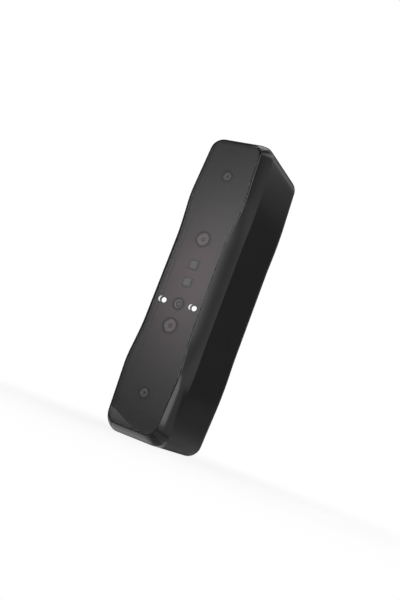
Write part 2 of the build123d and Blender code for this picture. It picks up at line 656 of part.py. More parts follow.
with BuildPart() as button_ribbon:
    ribbon_start = mainboard_back + PLUG_THICKNESS
    ribbon_finish = button_board_front - PLUG_THICKNESS
    add(ribbon(ribbon_start, ribbon_finish, button_plug_rise + RIBBON_SHIFT, -RIBBON_SHIFT))
save(button_ribbon.part, "button_ribbon")

# Button board on the cover's posts, with its plug, its screws and the bodies of the three switches
with BuildPart() as button_board:
    board = plates(button_board_front, BUTTON_BOARD_WIDTH, BUTTON_BOARD_LENGTH, [(0, BUTTON_RISE)])
    extrude(board, amount=BOARD_THICKNESS, dir=BACK)
    plug = plates(button_board_front, PLUG_WIDTH, PLUG_HEIGHT, [(0, button_plug_rise)])
    extrude(plug, amount=PLUG_THICKNESS, dir=FRONT)
    cut(discs(button_board_front, SHANK_RADIUS + HOLE_GAP, post_places), BOARD_THICKNESS, BACK)
save(button_board.part, "button_board")
save(screws(post_places, button_board_front, POST_SCREW_LENGTH, BACK), "button_board_screws")

with BuildPart() as switch_bodies:
    blocks = plates(button_board_back, SWITCH_SIDE, SWITCH_SIDE, switch_places)
    extrude(blocks, amount=SWITCH_HEIGHT, dir=BACK)
    well_depth = PLUNGER_ENTRY + BUTTON_TRAVEL + TIP_GAP
    cut(discs(switch_back, PLUNGER_RADIUS + PLUNGER_GAP, switch_places), well_depth, FRONT)
save(switch_bodies.part, "switch_bodies")

# Keys: a cap through the cover, held in by a flange that its switch plunger pushes from inside
for name, (rise, radius) in keys.items():
    place = [(0, rise)]
    with BuildPart() as key:
        extrude(discs(flange_front, radius, place), amount=DEPTH - BUTTON_SINK - flange_front, dir=BACK)
        fillet(key.edges().group_by(Axis.Y)[-1], radius=BUTTON_ROUND)
        flange_radius = radius + BUTTON_GAP + FLANGE_WIDTH
        extrude(discs(flange_front, flange_radius, place), amount=FLANGE_THICKNESS, dir=BACK)
    save(key.part, name)

    with BuildPart() as plunger:
        extrude(discs(flange_front, PLUNGER_RADIUS, place), amount=PLUNGER_LENGTH, dir=FRONT)
    save(plunger.part, f"{name.split('_')[0]}_switch_plunger")

# Status light: a chip on the button board and the clear pipe that brings its light to the back
with BuildPart() as status_led:
    chip = plates(button_board_back, LIGHT_CHIP_SIDE, LIGHT_CHIP_SIDE, [light_place])
    extrude(chip, amount=LIGHT_CHIP_HEIGHT, dir=BACK)
save(status_led.part, "status_led")

with BuildPart() as status_light_pipe:
    pipe_front = button_board_back + LIGHT_CHIP_HEIGHT
    pipe_back = DEPTH - DISH_DEPTH
    pipe = discs(pipe_front, LIGHT_PIPE_RADIUS, [light_place])
    extrude(pipe, amount=pipe_back - pipe_front, dir=BACK)
save(status_light_pipe.part, "status_light_pipe")

# Data socket: a thin metal shell on the mainboard, its mouth in the lower end, and the tongue inside it
with BuildPart() as data_socket_shell:
    with BuildSketch(floor_plane(SOCKET_SINK)):
        with Locations((0, socket_depth)):
            SlotOverall(SOCKET_WIDTH, SOCKET_HEIGHT)
            mouth = (SOCKET_WIDTH - 2 * SOCKET_WALL, SOCKET_HEIGHT - 2 * SOCKET_WALL)
            SlotOverall(*mouth, mode=Mode.SUBTRACT)
    extrude(amount=SOCKET_LENGTH)
save(data_socket_shell.part, "data_socket_shell")

with BuildPart() as data_socket_tongue:
    inside = 2 * (SOCKET_WALL + SLIDE_GAP)
    socket_top = SOCKET_SINK + SOCKET_LENGTH
    with BuildSketch(floor_plane(socket_top - TONGUE_BASE)):
        with Locations((0, socket_depth)):
            SlotOverall(SOCKET_WIDTH - inside, SOCKET_HEIGHT - inside)
    extrude(amount=TONGUE_BASE)
    with BuildSketch(floor_plane(socket_top - TONGUE_BASE - TONGUE_LENGTH)):
        with Locations((0, socket_depth)):
            Rectangle(TONGUE_WIDTH, TONGUE_THICKNESS)
    extrude(amount=TONGUE_LENGTH)
save(data_socket_tongue.part, "data_socket_tongue")

# Tripod insert: brass bush pressed into the lower end, with a blind threaded bore
with BuildPart() as tripod_insert:
    with BuildSketch(floor_plane(0)):
        with Locations((0, tripod_depth)):
            Circle(INSERT_RADIUS)
    extrude(amount=insert_pocket)
    with BuildSketch(floor_plane(0)):
        with Locations((0, tripod_depth)):
            Circle(INSERT_BORE_RADIUS)
    extrude(amount=INSERT_LENGTH, mode=Mode.SUBTRACT)
    chamfer(tripod_insert.edges().group_by(Axis.Z)[0].sort_by(SortBy.RADIUS)[0], length=INSERT_CHAMFER)
save(tripod_insert.part, "tripod_insert")
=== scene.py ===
import math

import bmesh
import bpy
import numpy as np
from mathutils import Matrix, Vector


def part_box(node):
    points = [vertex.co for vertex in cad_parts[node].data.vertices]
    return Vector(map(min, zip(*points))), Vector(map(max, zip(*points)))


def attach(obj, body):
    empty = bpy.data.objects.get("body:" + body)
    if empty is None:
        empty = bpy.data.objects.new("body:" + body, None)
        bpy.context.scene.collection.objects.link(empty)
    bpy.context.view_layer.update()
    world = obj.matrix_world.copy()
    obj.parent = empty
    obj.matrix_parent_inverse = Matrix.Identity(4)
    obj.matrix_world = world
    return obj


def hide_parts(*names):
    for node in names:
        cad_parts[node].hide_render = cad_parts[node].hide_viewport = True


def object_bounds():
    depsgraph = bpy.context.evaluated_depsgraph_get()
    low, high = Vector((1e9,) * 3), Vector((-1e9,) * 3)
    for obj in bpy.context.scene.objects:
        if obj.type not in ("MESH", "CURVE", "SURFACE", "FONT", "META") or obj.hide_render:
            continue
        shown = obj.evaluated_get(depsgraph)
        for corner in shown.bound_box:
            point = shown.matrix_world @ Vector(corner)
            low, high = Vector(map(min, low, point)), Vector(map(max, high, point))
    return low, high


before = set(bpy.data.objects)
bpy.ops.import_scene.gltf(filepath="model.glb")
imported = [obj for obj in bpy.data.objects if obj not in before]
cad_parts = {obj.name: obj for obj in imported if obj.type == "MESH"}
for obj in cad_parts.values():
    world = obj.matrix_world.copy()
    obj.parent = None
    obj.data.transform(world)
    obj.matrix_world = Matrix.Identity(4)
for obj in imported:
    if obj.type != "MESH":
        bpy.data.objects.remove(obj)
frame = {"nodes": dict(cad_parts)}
nodes, scene = frame["nodes"], bpy.context.scene
cad_box = [[float(length) for length in corner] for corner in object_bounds()]
front_y, middle_z = cad_box[0][1], (cad_box[0][2] + cad_box[1][2]) / 2


# Optical bench, heat spreader and heat sink: bars of aluminium, milled flat and anodised black.
# The cutter leaves fine straight lines across each face, which the dye does not hide.
# Round the lamps, a faint pinkish glow is painted on the bench as emission, for light the glass throws
# back.
class Shade:
    """One value in a node tree: sums and products of it add Math nodes, and node() adds any other."""

    def __init__(self, tree, socket=None):
        self.tree = tree
        self.socket = socket

    def feed(self, slot, value):
        """Links a value to an input, or sets the input where the value is a number or a colour."""
        if isinstance(value, Shade):
            self.tree.links.new(value.socket, slot)
        else:
            slot.default_value = value

    def node(self, kind, settings, inputs, output=0):
        """Adds a node of a type: its settings first, then the values or links of its sockets."""
        made = self.tree.nodes.new("ShaderNode" + kind)
        for name, value in settings.items():
            setattr(made, name, value)
        for name, value in inputs.items():
            self.feed(made.inputs[name], value)
        return Shade(self.tree, made.outputs[output])

    def maths(self, operation, first, second):
        """Math node of an operation on two values."""
        return self.node("Math", {"operation": operation}, {0: first, 1: second})

    def blend(self, share, first, second):
        """Colour between two colours."""
        return self.node("Mix", {"data_type": "RGBA"}, {0: share, 6: first, 7: second}, 2)

    def place(self, stretch=(1.0, 1.0, 1.0)):
        """Object coordinates in metres, stretched along each axis."""
        where = self.node("TexCoord", {}, {}, "Object")
        return self.node("Mapping", {}, {"Vector": where, "Scale": stretch})

    def axis(self, name):
        """Object coordinate along one axis, in metres."""
        return self.node("SeparateXYZ", {}, {0: self.place()}, name)

    def noise(self, scale, detail=2.0, stretch=(1.0, 1.0, 1.0)):
        """Smooth random value from 0 to 1, with scale bumps to a metre."""
        settings = {"Vector": self.place(stretch), "Scale": scale, "Detail": detail}
        return self.node("TexNoise", {}, settings)

    def relief(self, height, depth, strength=1.0):
        """Normal of a surface with small hills, depth metres high."""
        return self.node("Bump", {}, {"Strength": strength, "Distance": depth, "Height": height})

    def __add__(self, other):
        return self.maths("ADD", self, other)

    def __radd__(self, other):
        return self.maths("ADD", other, self)

    def __sub__(self, other):
        return self.maths("SUBTRACT", self, other)

    def __rsub__(self, other):
        return self.maths("SUBTRACT", other, self)

    def __mul__(self, other):
        return self.maths("MULTIPLY", self, other)

    def __rmul__(self, other):
        return self.maths("MULTIPLY", other, self)

    def __rpow__(self, other):
        return self.maths("POWER", other, self)

    def __gt__(self, other):
        return self.maths("GREATER_THAN", self, other)


def finish(name, recipe, fixed):
    """Material of one Principled shader: recipe(shade) gives what varies over the surface, and fixed
    gives what is the same all over."""
    material = bpy.data.materials.new(name)
    material.use_nodes = True
    tree = material.node_tree
    shader = tree.nodes["Principled BSDF"]
    shade = Shade(tree)
    for socket, value in recipe(shade).items():
        shade.feed(shader.inputs[socket], value)
    for socket, value in fixed.items():
        shader.inputs[socket].default_value = value
    return material


def grey(level, tint=(1.0, 1.0, 1.0)):
    """Colour of one lightness with a slight tint."""
    return (level * tint[0], level * tint[1], level * tint[2], 1.0)


def dress(material, *names):
    """Gives CAD nodes a material of this scene."""
    for name in names:
        for slot in nodes[name].material_slots:
            slot.material = material


PAINTED_GLOW_WIDTH, PAINTED_GLOW_LENGTH, PAINTED_GLOW_TINT = 0.016, 0.034, (1.5, 0.72, 0.92)


def painted_lamp_glow(shade, level):
    """Painted pinkish glow round the lamps, given as emission: e to the power of minus the squares of
    the distances across and along the bench, each over its own reach."""
    across = shade.axis("X") * (1 / PAINTED_GLOW_WIDTH)
    along = (shade.axis("Z") - middle_z) * (1 / PAINTED_GLOW_LENGTH)
    near = math.e ** (0.0 - across * across - along * along)
    return shade.blend(near, grey(0.0), grey(level, PAINTED_GLOW_TINT))


def milled(shade):
    """Fine lines across the bar, in a slightly cloudy dye, with the painted glow round the lamps."""
    lines = shade.noise(900.0, 3.0, (1.0, 14.0, 14.0))
    cloud = shade.noise(160.0)
    return {
        "Base Color": shade.blend(cloud, grey(0.030), grey(0.045, (1.0, 0.99, 1.02))),
        "Roughness": 0.44 + 0.16 * lines,
        # Painted glow round the lamps, given as emission.
        "Emission Color": painted_lamp_glow(shade, 0.085),
        "Normal": shade.relief(lines, 0.000004),
    }


anodised = finish("black_anodised_bench", milled, {"Metallic": 0.3, "Emission Strength": 1.0})
dress(anodised, "optical_frame", "heat_spreader", "heat_sink")


# Screws of the bench and the boards: small pan heads of steel, blackened in a hot oxide bath.
# The bath leaves an even satin black with a faint cloudiness.
def mottled(name, fixed, colours, roughness, scale, depth=0.0, detail=2.0, stretch=(1.0, 1.0, 1.0)):
    """Material whose colour and roughness go from their first to their second value with one noise,
    which is also its relief where it has a depth."""

    def recipe(shade):
        spots = shade.noise(scale, detail, stretch)
        smooth, rough = roughness
        look = {"Base Color": shade.blend(spots, *colours)}
        look["Roughness"] = smooth + (rough - smooth) * spots
        if depth:
            look["Normal"] = shade.relief(spots, depth)
        return look

    return finish(name, recipe, fixed)


METAL = {"Metallic": 1.0}
bath_blacks = grey(0.075), grey(0.13, (1.0, 1.0, 1.04))
black_steel = mottled(
    "black_oxide_steel", METAL, bath_blacks, roughness=(0.30, 0.48), scale=1400.0, detail=3.0
)
dress(black_steel, "optical_frame_screws", "mainboard_screws", "button_board_screws")


# Camera barrels: short tubes turned from aluminium bar and dyed light grey, one for each camera.
# The front of each is a flat ring with a chamfered pupil and a fine groove near its edge. The middle
# three have four flats for a spanner, and show a small bright iris deep in the pupil, a painted highlight
# for the glint of the lens. The barrels also carry the painted glow round the lamps.
MM, ORIGIN, WELD, SLIVER = 0.001, (0.0, front_y, middle_z), 2e-7, 1e-8


def in_frame(points):
    """Millimetres across, behind the front and above mid-length become metres in the object's frame."""
    return np.asarray(points) * MM + ORIGIN


def spot(node):
    """Lowest and highest corner of a CAD node, in millimetres across, behind the front and above
    mid-length."""
    return [(np.array(corner) - ORIGIN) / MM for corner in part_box(node)]


def round_spot(node):
    """Centre, radius, front and back of a round CAD node on the middle line."""
    low, high = spot(node)
    return (0.0, (low[2] + high[2]) / 2), high[0], low[1], high[1]


def rounded(loops, radii, ring=False, steps=6, run=1):
    """Rows of points over a stack of loops, with each corner of the stack rounded to its own radius.
    At a corner whose sides turn by an angle a, the tangent points stand r tan(a/2) from the corner,
    and the arc is the rational quadratic through them, with the corner weighted by cos(a/2).
    Straight stretches between corners are divided into run equal parts."""
    loops = np.asarray(loops, float)
    pieces = []
    for i, radius in enumerate(radii):
        corner = loops[i]
        if radius == 0:
            pieces.append(corner[None])
            continue
        back, ahead = loops[i - 1] - corner, loops[(i + 1) % len(loops)] - corner
        back = back / np.linalg.norm(back, axis=-1, keepdims=True)
        ahead = ahead / np.linalg.norm(ahead, axis=-1, keepdims=True)
        straight = np.clip(-(back * ahead).sum(-1, keepdims=True), -1.0, 1.0)
        half_turn = np.arccos(straight) / 2
        reach = radius * np.tan(half_turn)
        start, end, weight = corner + back * reach, corner + ahead * reach, np.cos(half_turn)
        u = np.linspace(0.0, 1.0, steps + 1)[:, None, None]
        middle = 2 * weight * u * (1 - u)
        total = (1 - u) ** 2 + middle + u**2
        pieces.append(((1 - u) ** 2 * start + middle * corner + u**2 * end) / total)
    rows = []
    count = len(pieces)
    for i in range(count):
        rows.append(pieces[i])
        if run > 1 and (ring or i + 1 < count):
            share = np.arange(1, run)[:, None, None] / run
            rows.append(pieces[i][-1] * (1 - share) + pieces[(i + 1) % count][0] * share)
    return np.concatenate(rows)


def turned(profile, centre, radii=None, axis="depth", columns=64, lobe=0.0):
    """Lathe surface: the point of profile row i at angle t stands at (radius cos t, radius sin t) round
    the centre, in the plane across the axis, and at the profile's height along the axis. The radius
    swells by lobe cos 4t of itself, row by row, and radii round the profile's corners."""
    t = np.linspace(0.0, 2 * np.pi, columns, endpoint=False)
    radius, height = np.asarray(profile, float).T[..., None]
    radius = radius * (1 + np.reshape(lobe, (-1, 1)) * np.cos(4 * t))
    first, second = centre[0] + radius * np.cos(t), centre[1] + radius * np.sin(t)
    height = np.broadcast_to(height, first.shape)
    parts = (first, height, second) if axis == "depth" else (first, second, height)
    loops = np.stack(parts, axis=-1)
    return loops if radii is None else rounded(loops, radii)


def skin(rows, ring):
    """Quads of a grid whose columns close on themselves, and whose rows do too where it is a ring.
    They are turned over where the volume they enclose, the sum of a . (b x c) / 6 over their
    triangles, is negative."""
    count, columns = rows.shape[:2]
    i = np.arange(count if ring else count - 1)[:, None]
    j = np.arange(columns)[None, :]
    ahead, beside = (i + 1) % count, (j + 1) % columns
    corners = (i * columns + j, i * columns + beside, ahead * columns + beside, ahead * columns + j)
    quads = np.stack(np.broadcast_arrays(*corners), axis=-1).reshape(-1, 4)
    a, b, c, d = np.moveaxis(rows.reshape(-1, 3)[quads], 1, 0)
    volume = (a * (np.cross(b, c) + np.cross(c, d))).sum()
    return quads if volume > 0 else quads[:, ::-1]


def solid(name, *grids, ring=False):
    """Mesh object of one or more closed grids of rows, with its poles and seams merged."""
    points, quads, start = [], [], 0
    for rows in grids:
        quads.append(skin(rows, ring) + start)
        points.append(rows.reshape(-1, 3))
        start += len(points[-1])
    mesh = bpy.data.meshes.new(name)
    mesh.from_pydata(in_frame(np.concatenate(points)).tolist(), [], np.concatenate(quads).tolist())
    merged = bmesh.new()
    merged.from_mesh(mesh)
    bmesh.ops.remove_doubles(merged, verts=merged.verts, dist=WELD)
    bmesh.ops.dissolve_degenerate(merged, edges=merged.edges, dist=SLIVER)
    merged.to_mesh(mesh)
    merged.free()
    made = bpy.data.objects.new(name, mesh)
    scene.collection.objects.link(made)
    return made


def fit(made, material, body="scanner_body", stands_for=(), sharp=35.0):
    """Finishes a piece: smooth faces broken at sharp edges, its material, body and CAD nodes."""
    made.data.shade_smooth()
    made.data.set_sharp_from_angle(angle=math.radians(sharp))
    weights = made.modifiers.new("even_flats", "WEIGHTED_NORMAL")
    weights.keep_sharp = True
    made.data.materials.append(material)
    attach(made, body)
    if stands_for:
        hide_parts(*stands_for)


DYE_TINT = (1.04, 0.97, 1.0)


def dyed_bar(shade):
    """Light grey dye with the fine swirl that a lathe leaves, and the painted glow round the lamps."""
    swirl = shade.noise(2600.0)
    return {
        "Base Color": shade.blend(swirl, grey(0.62, DYE_TINT), grey(0.72, DYE_TINT)),
        "Roughness": 0.34 + 0.14 * swirl,
        # Painted glow round the lamps, given as emission.
        "Emission Color": painted_lamp_glow(shade, 0.11),
        "Normal": shade.relief(swirl, 0.000003),
    }


barrel_metal = finish("dyed_aluminium_barrel", dyed_bar, {"Metallic": 0.25, "Emission Strength": 1.0})
PUPILS = {"upper_far": 0.85, "upper_near": 1.3, "colour": 1.9, "lower_near": 1.3, "lower_far": 0.85}
BARREL_WALL, FACE_THICKNESS, PUPIL_CHAMFER, EDGE_CHAMFER = 0.45, 0.5, 0.1, 0.12
GROOVE_SETBACK, GROOVE_WIDTH, GROOVE_DEPTH = 0.55, 0.14, 0.12
FLAT_SHARE, GLINT_IRIS_THICKNESS = 0.075, 0.05
GLINT_IRISES = {"upper_near": (0.0, 0.4), "colour": (0.4, 0.85), "lower_near": (0.0, 0.4)}

for name, pupil in PUPILS.items():
    centre, radius, front, back = round_spot(name + "_lens_barrel")
    bore, seat, groove = radius - BARREL_WALL, front + FACE_THICKNESS, radius - GROOVE_SETBACK
    mouth, groove_end = pupil + PUPIL_CHAMFER, groove + GROOVE_WIDTH
    profile = [(bore, back), (bore, seat), (pupil, seat), (pupil, front + PUPIL_CHAMFER), (mouth, front)]
    if groove > mouth:
        profile += [(groove, front), (groove, front + GROOVE_DEPTH)]
        profile += [(groove_end, front + GROOVE_DEPTH), (groove_end, front)]
    profile += [(radius - EDGE_CHAMFER, front), (radius, front + EDGE_CHAMFER), (radius, back)]
    lobe = [FLAT_SHARE if name in GLINT_IRISES and out > mouth else 0.0 for out, _ in profile]
    tube = solid(name + "_barrel", turned(profile, centre, lobe=lobe), ring=True)
    fit(tube, barrel_metal, stands_for=[name + "_lens_barrel"])
    # The bright iris is a painted highlight for the glint of the lens.
    if name in GLINT_IRISES:
        hole, rim = GLINT_IRISES[name]
        leaf_front = seat - GLINT_IRIS_THICKNESS
        profile = [(hole, seat), (hole, leaf_front), (rim, leaf_front), (rim, seat)]
        leaf = solid(name + "_glint_iris", turned(profile, centre, columns=32), ring=True)
        fit(leaf, barrel_metal)


# Front lenses: small domes of coated glass, seated in the barrels behind their pupils.
# The coating throws back a faint violet, and all else that falls in is swallowed by the camera.
def coated(shade):
    """Near black with a slightly uneven violet."""
    sheen = shade.noise(500.0, 1.0)
    return {"Base Color": shade.blend(sheen, (0.016, 0.012, 0.030, 1.0), (0.030, 0.014, 0.034, 1.0))}


coated_glass = finish("coated_lens_glass", coated, {"Roughness": 0.03, "IOR": 1.7})
LENS_ROWS, LENS_SAG = 9, 0.4

for name in PUPILS:
    centre, radius, front, back = round_spot(name + "_front_lens")
    dome = [(radius * share, front + LENS_SAG * share**2) for share in np.linspace(0.0, 1.0, LENS_ROWS)]
    profile = dome + [(radius, back), (0.0, back)]
    lens = solid(name + "_lens", turned(profile, centre, columns=48))
    fit(lens, coated_glass, stands_for=[name + "_front_lens"], sharp=50.0)


# Camera holders and chip packages: glass-filled nylon and epoxy, moulded matt black.
# The moulds are spark eroded, so the faces have an even fine grain.
nylon_blacks = grey(0.016), grey(0.026)
matt_nylon = mottled(
    "matt_black_nylon", {}, nylon_blacks, roughness=(0.62, 0.82), scale=3200.0, depth=0.000012
)
dress(matt_nylon, *[name + "_camera_holder" for name in PUPILS])
black_mouldings = ("upper_projector", "lower_projector", "processor", "mainboard_connectors")
dress(matt_nylon, *black_mouldings, "switch_bodies", "data_socket_tongue")


# Circuit boards: glass fibre under green solder mask, with copper tracks that show through it.
# They stand behind the bench, on pillars, and behind the keys.
TRACK_HALF = 0.09


def solder_mask(shade):
    """Lines of a random net are the tracks, paler than the mask between them."""
    net = {"Vector": shade.place(), "Scale": 420.0}
    between = shade.node("TexVoronoi", {"feature": "DISTANCE_TO_EDGE"}, net) > TRACK_HALF
    weave = shade.noise(2400.0, 1.0)
    return {
        "Base Color": shade.blend(between, (0.03, 0.13, 0.07, 1.0), (0.010, 0.055, 0.030, 1.0)),
        "Roughness": 0.28 + 0.12 * weave,
        "Normal": shade.relief(between, 0.00002, 0.4),
    }


green_board = finish("green_circuit_board", solder_mask, {})
dress(green_board, *[name + "_sensor_board" for name in PUPILS])
dress(green_board, "projector_board", "mainboard", "button_board")
dress(anodised, "led_board")


# Light seals and adhesive: rings of open foam between the bench and the glass, and the black glue
# line that holds the glass. Both are matt and soft, with small pores.
def foamed(shade):
    """Random pores, each darkest and deepest in its middle."""
    pores = shade.node("TexVoronoi", {}, {"Vector": shade.place(), "Scale": 5200.0})
    return {
        "Base Color": shade.blend(pores, grey(0.006), grey(0.016)),
        "Roughness": 0.9 - 0.1 * pores,
        "Normal": shade.relief(pores, 0.00004),
    }


black_foam = finish("black_foam", foamed, {"Specular IOR Level": 0.2})
dress(black_foam, "light_seals", "window_adhesive")


# Emitter windows: two small square plates of frosted glass in the faces of the projectors.
# Each is pressed with a close grid of tiny lenses that spreads the light, and a faint glow is painted in.
FROST_TINT = (1.0, 0.98, 0.99)


def lensed(shade):
    """Grid of beads: a wave across the plate times one along it, which also shapes a painted glow."""
    waves = {"Vector": shade.place(), "Scale": 900.0}
    across = shade.node("TexWave", {"bands_direction": "X"}, waves)
    along = shade.node("TexWave", {"bands_direction": "Z"}, waves)
    bead = across * along
    return {
        "Base Color": shade.blend(bead, grey(0.70, FROST_TINT), grey(0.80, FROST_TINT)),
        "Roughness": 0.42 - 0.1 * bead,
        # Painted glow, given as emission.
        "Emission Color": shade.blend(bead, grey(0.040), grey(0.060)),
        "Normal": shade.relief(bead, 0.00002, 0.5),
    }


frosted_glass = finish("frosted_emitter_glass", lensed, {"Emission Strength": 1.0})
dress(frosted_glass, "upper_projector_window", "lower_projector_window")


# Fill lamps: a pair of white light chips under clear domes, each on a black base. They are lit, and
# stand on their own board either side of the colour camera. The bright crescent by each is a painted
# reflection of the lamp in the glass: a thin glowing white piece just behind the pane.
def phosphor(shade):
    """White light, a little uneven."""
    glow = shade.noise(900.0, 1.0)
    return {
        "Base Color": shade.blend(glow, grey(0.85), grey(0.92)),
        "Emission Color": shade.blend(glow, grey(0.94), grey(1.0)),
    }


def painted_reflection(shade):
    """Painted reflection of a lamp: white that glows as far as it is white."""
    haze = shade.noise(1800.0, 1.0)
    white = shade.blend(haze, grey(0.80), grey(0.86))
    return {"Base Color": white, "Roughness": 0.4 + 0.1 * haze, "Emission Color": white}


lamp_glow = finish("lit_lamp_dome", phosphor, {"Emission Strength": 3.6, "Roughness": 0.15})
reflection_film = finish("painted_reflection_film", painted_reflection, {"Emission Strength": 3.0})
DOME_RADIUS, DOME_HEIGHT, DOME_ROWS = 1.4, 0.7, 10
BASE_FRONT, BASE_GAP, BASE_ROUND = 2.4, 0.06, 0.08
GLINT_RADIUS, GLINT_SHIFT, GLINT_HOLLOW, GLINT_LIFT = 1.6, 1.3, 1.95, 0.1
GLINT_FRONT, GLINT_BACK, GLINT_STEPS = 1.205, 1.235, 24


def bow(radius, sweep):
    """Arc at a radius, through an angle of sweep above and below the way to the left."""
    t = np.linspace(-sweep, sweep, GLINT_STEPS)
    return np.stack([-radius * np.cos(t), 0 * t, radius * np.sin(t)], axis=-1)


tip = (GLINT_HOLLOW**2 + GLINT_SHIFT**2 - GLINT_RADIUS**2) / (2 * GLINT_SHIFT)
outer_bow = bow(GLINT_RADIUS, math.acos((tip - GLINT_SHIFT) / GLINT_RADIUS)) - (GLINT_SHIFT, 0.0, 0.0)
inner_bow = bow(GLINT_HOLLOW, math.acos(tip / GLINT_HOLLOW))
crescent = np.concatenate([outer_bow, inner_bow[::-1]])
ridge = (crescent + crescent[::-1]) / 2
glint_loops = [(ridge, GLINT_FRONT), (crescent, GLINT_FRONT), (crescent, GLINT_BACK), (ridge, GLINT_BACK)]

for side in ("left", "right"):
    low, high = spot(side + "_fill_led")
    centre, base = ((low[0] + high[0]) / 2, (low[2] + high[2]) / 2), (high[0] - low[0]) / 2
    front, back = low[1], high[1]
    reach = np.sin(np.linspace(0.0, np.pi / 2, DOME_ROWS))
    drop = 1 - np.sqrt(1 - reach**2)
    dome = [(DOME_RADIUS * out, front + DOME_HEIGHT * fall) for out, fall in zip(reach, drop)]
    profile = dome + [(DOME_RADIUS, back), (0.0, back)]
    lamp = solid(side + "_lamp", turned(profile, centre, columns=48))
    fit(lamp, lamp_glow, stands_for=[side + "_fill_led"], sharp=60.0)
    hole = DOME_RADIUS + BASE_GAP
    profile = [(base, back), (base, BASE_FRONT), (hole, BASE_FRONT), (hole, back)]
    rounds = [0.0, BASE_ROUND, BASE_ROUND, 0.0]
    block = solid(side + "_lamp_base", turned(profile, centre, rounds, columns=48), ring=True)
    fit(block, matt_nylon, sharp=60.0)
    # The crescent is a painted reflection of the lamp in the glass, a thin glowing white piece.
    rows = [loop + (centre[0], depth, centre[1] + GLINT_LIFT) for loop, depth in glint_loops]
    glint = solid(side + "_lamp_glint", np.array(rows))
    fit(glint, reflection_film, sharp=60.0)


# Pillars of the mainboard: hexagon brass bar, turned at the ends and tapped for the board's screws.
# They are screwed into the back of the bench, and hold the mainboard clear of it.
brass_yellows = (0.60, 0.43, 0.18, 1.0), (0.74, 0.56, 0.27, 1.0)
turning_lines = {"scale": 1500.0, "depth": 0.000004, "stretch": (1.0, 1.0, 8.0)}
brass = mottled("turned_brass", METAL, brass_yellows, roughness=(0.22, 0.38), **turning_lines)
dress(brass, "board_standoffs")


# Ribbons: black polyimide film with copper conductors along it. They run from the cameras and from the
# keys' board to the mainboard, and are pushed into its connectors.
def film(shade):
    """Strands side by side: a wave across the ribbon."""
    waves = {"Vector": shade.place(), "Scale": 520.0}
    strands = shade.node("TexWave", {"bands_direction": "X"}, waves)
    return {
        "Base Color": shade.blend(strands, (0.020, 0.016, 0.012, 1.0), (0.034, 0.026, 0.018, 1.0)),
        "Roughness": 0.3 + 0.1 * strands,
    }


black_film = finish("black_ribbon_film", film, {})
dress(black_film, "camera_ribbons", "button_ribbon")


# Window: one waisted pane of dark tinted glass over all the cameras, a hair proud of the housing's rim.
# Its edge is ground to a fine chamfer. A black border behind it hides all but the cameras and emitters,
# which show faintly through it.
BODY_WIDTH = 41.7
BODY_DEPTH, BODY_LENGTH = ((cad_box[1][i] - cad_box[0][i]) / MM for i in (1, 2))
END_TAPER, SHOULDER_TAPER, SHOULDER_REACH, WAIST_REACH = 2.13, 0.1, 47.3, 27.2
GLASS_FORM, BODY_FORM = np.array([2.39, 50.0, 75.0]), np.array([0.7, 250.0, 150.0])
BODY_CORNER = 8.0
RIM_INSET, RIM_CORNER, GLASS_INSET, GLASS_CORNER = 3.72, 6.2, 4.22, 5.7
GLASS_GAP, GLASS_THICKNESS, GLASS_CHAMFER, CHAMFER_FALL, GLASS_PROUD = 0.04, 1.2, 0.32, 0.25, 0.1
PANE_ROUND, PANE_BACK_ROUND, GLASS_TINT = 0.04, 0.03, (1.0, 0.98, 0.99)
MASK_INSET, MASK_FORM, MASK_CORNER, MASK_FRONT, MASK_BACK = 9.2, (0.0, 250.0, 150.0), 3.0, 1.25, 1.34
CORNER_STEPS, RUN_STEPS, SPINE_SHARE = 10, 6, 0.86


def outline(depth, inset, form, corner):
    """Loop round the body at a depth: twelve corners, drawn in by inset all round and by the form's
    draw more at the waist, joined by straight runs. The end corner and the form's two radii round
    them in turn."""
    draw, shoulder_radius, waist_radius = form
    middle, end = BODY_WIDTH / 2 - inset, BODY_LENGTH / 2 - inset
    shoulder, waist = (middle - SHOULDER_TAPER, SHOULDER_REACH), (middle - draw, WAIST_REACH)
    quarter = [(middle - END_TAPER, end), shoulder, waist]
    right = quarter + [(x, -z) for x, z in quarter[::-1]]
    points = np.array([(x, depth, z) for x, z in right + [(-x, -z) for x, z in right]])
    bends = [corner, shoulder_radius, waist_radius]
    return rounded(points[:, None], (bends + bends[::-1]) * 2, True, CORNER_STEPS, RUN_STEPS)[:, 0]


def spine(loop):
    """The loop pressed flat onto the body's long middle line, which closes a face inside it."""
    return loop * (0.0, 1.0, SPINE_SHARE)


def tinted(shade):
    """Slightly uneven dark tint, with a faint haze in the polish."""
    depth = shade.noise(60.0, 1.0)
    haze = shade.noise(420.0, 3.0)
    return {
        "Base Color": shade.blend(depth, grey(0.036, GLASS_TINT), grey(0.044, GLASS_TINT)),
        "Roughness": 0.010 + 0.012 * haze,
    }


tinted_glass = finish("dark_tinted_glass", tinted, {"Alpha": 0.5, "IOR": 1.9})
edge = GLASS_INSET + GLASS_GAP
pane_edge = [
    outline(-GLASS_PROUD, edge + GLASS_CHAMFER, GLASS_FORM, GLASS_CORNER),
    outline(CHAMFER_FALL - GLASS_PROUD, edge, GLASS_FORM, GLASS_CORNER),
    outline(GLASS_THICKNESS, edge, GLASS_FORM, GLASS_CORNER),
]
pane_stack = [spine(pane_edge[0]), *pane_edge, spine(pane_edge[2])]
pane_rounds = [0.0, PANE_ROUND, PANE_ROUND, PANE_BACK_ROUND, 0.0]
pane = solid("window_pane", rounded(pane_stack, pane_rounds, steps=3))
fit(pane, tinted_glass, stands_for=["front_window"], sharp=30.0)
mask_loops = [
    outline(MASK_BACK, MASK_INSET, MASK_FORM, MASK_CORNER),
    outline(MASK_FRONT, MASK_INSET, MASK_FORM, MASK_CORNER),
    outline(MASK_FRONT, edge, GLASS_FORM, GLASS_CORNER),
    outline(MASK_BACK, edge, GLASS_FORM, GLASS_CORNER),
]
mask = solid("window_mask", np.array(mask_loops), ring=True)
fit(mask, anodised, sharp=50.0)


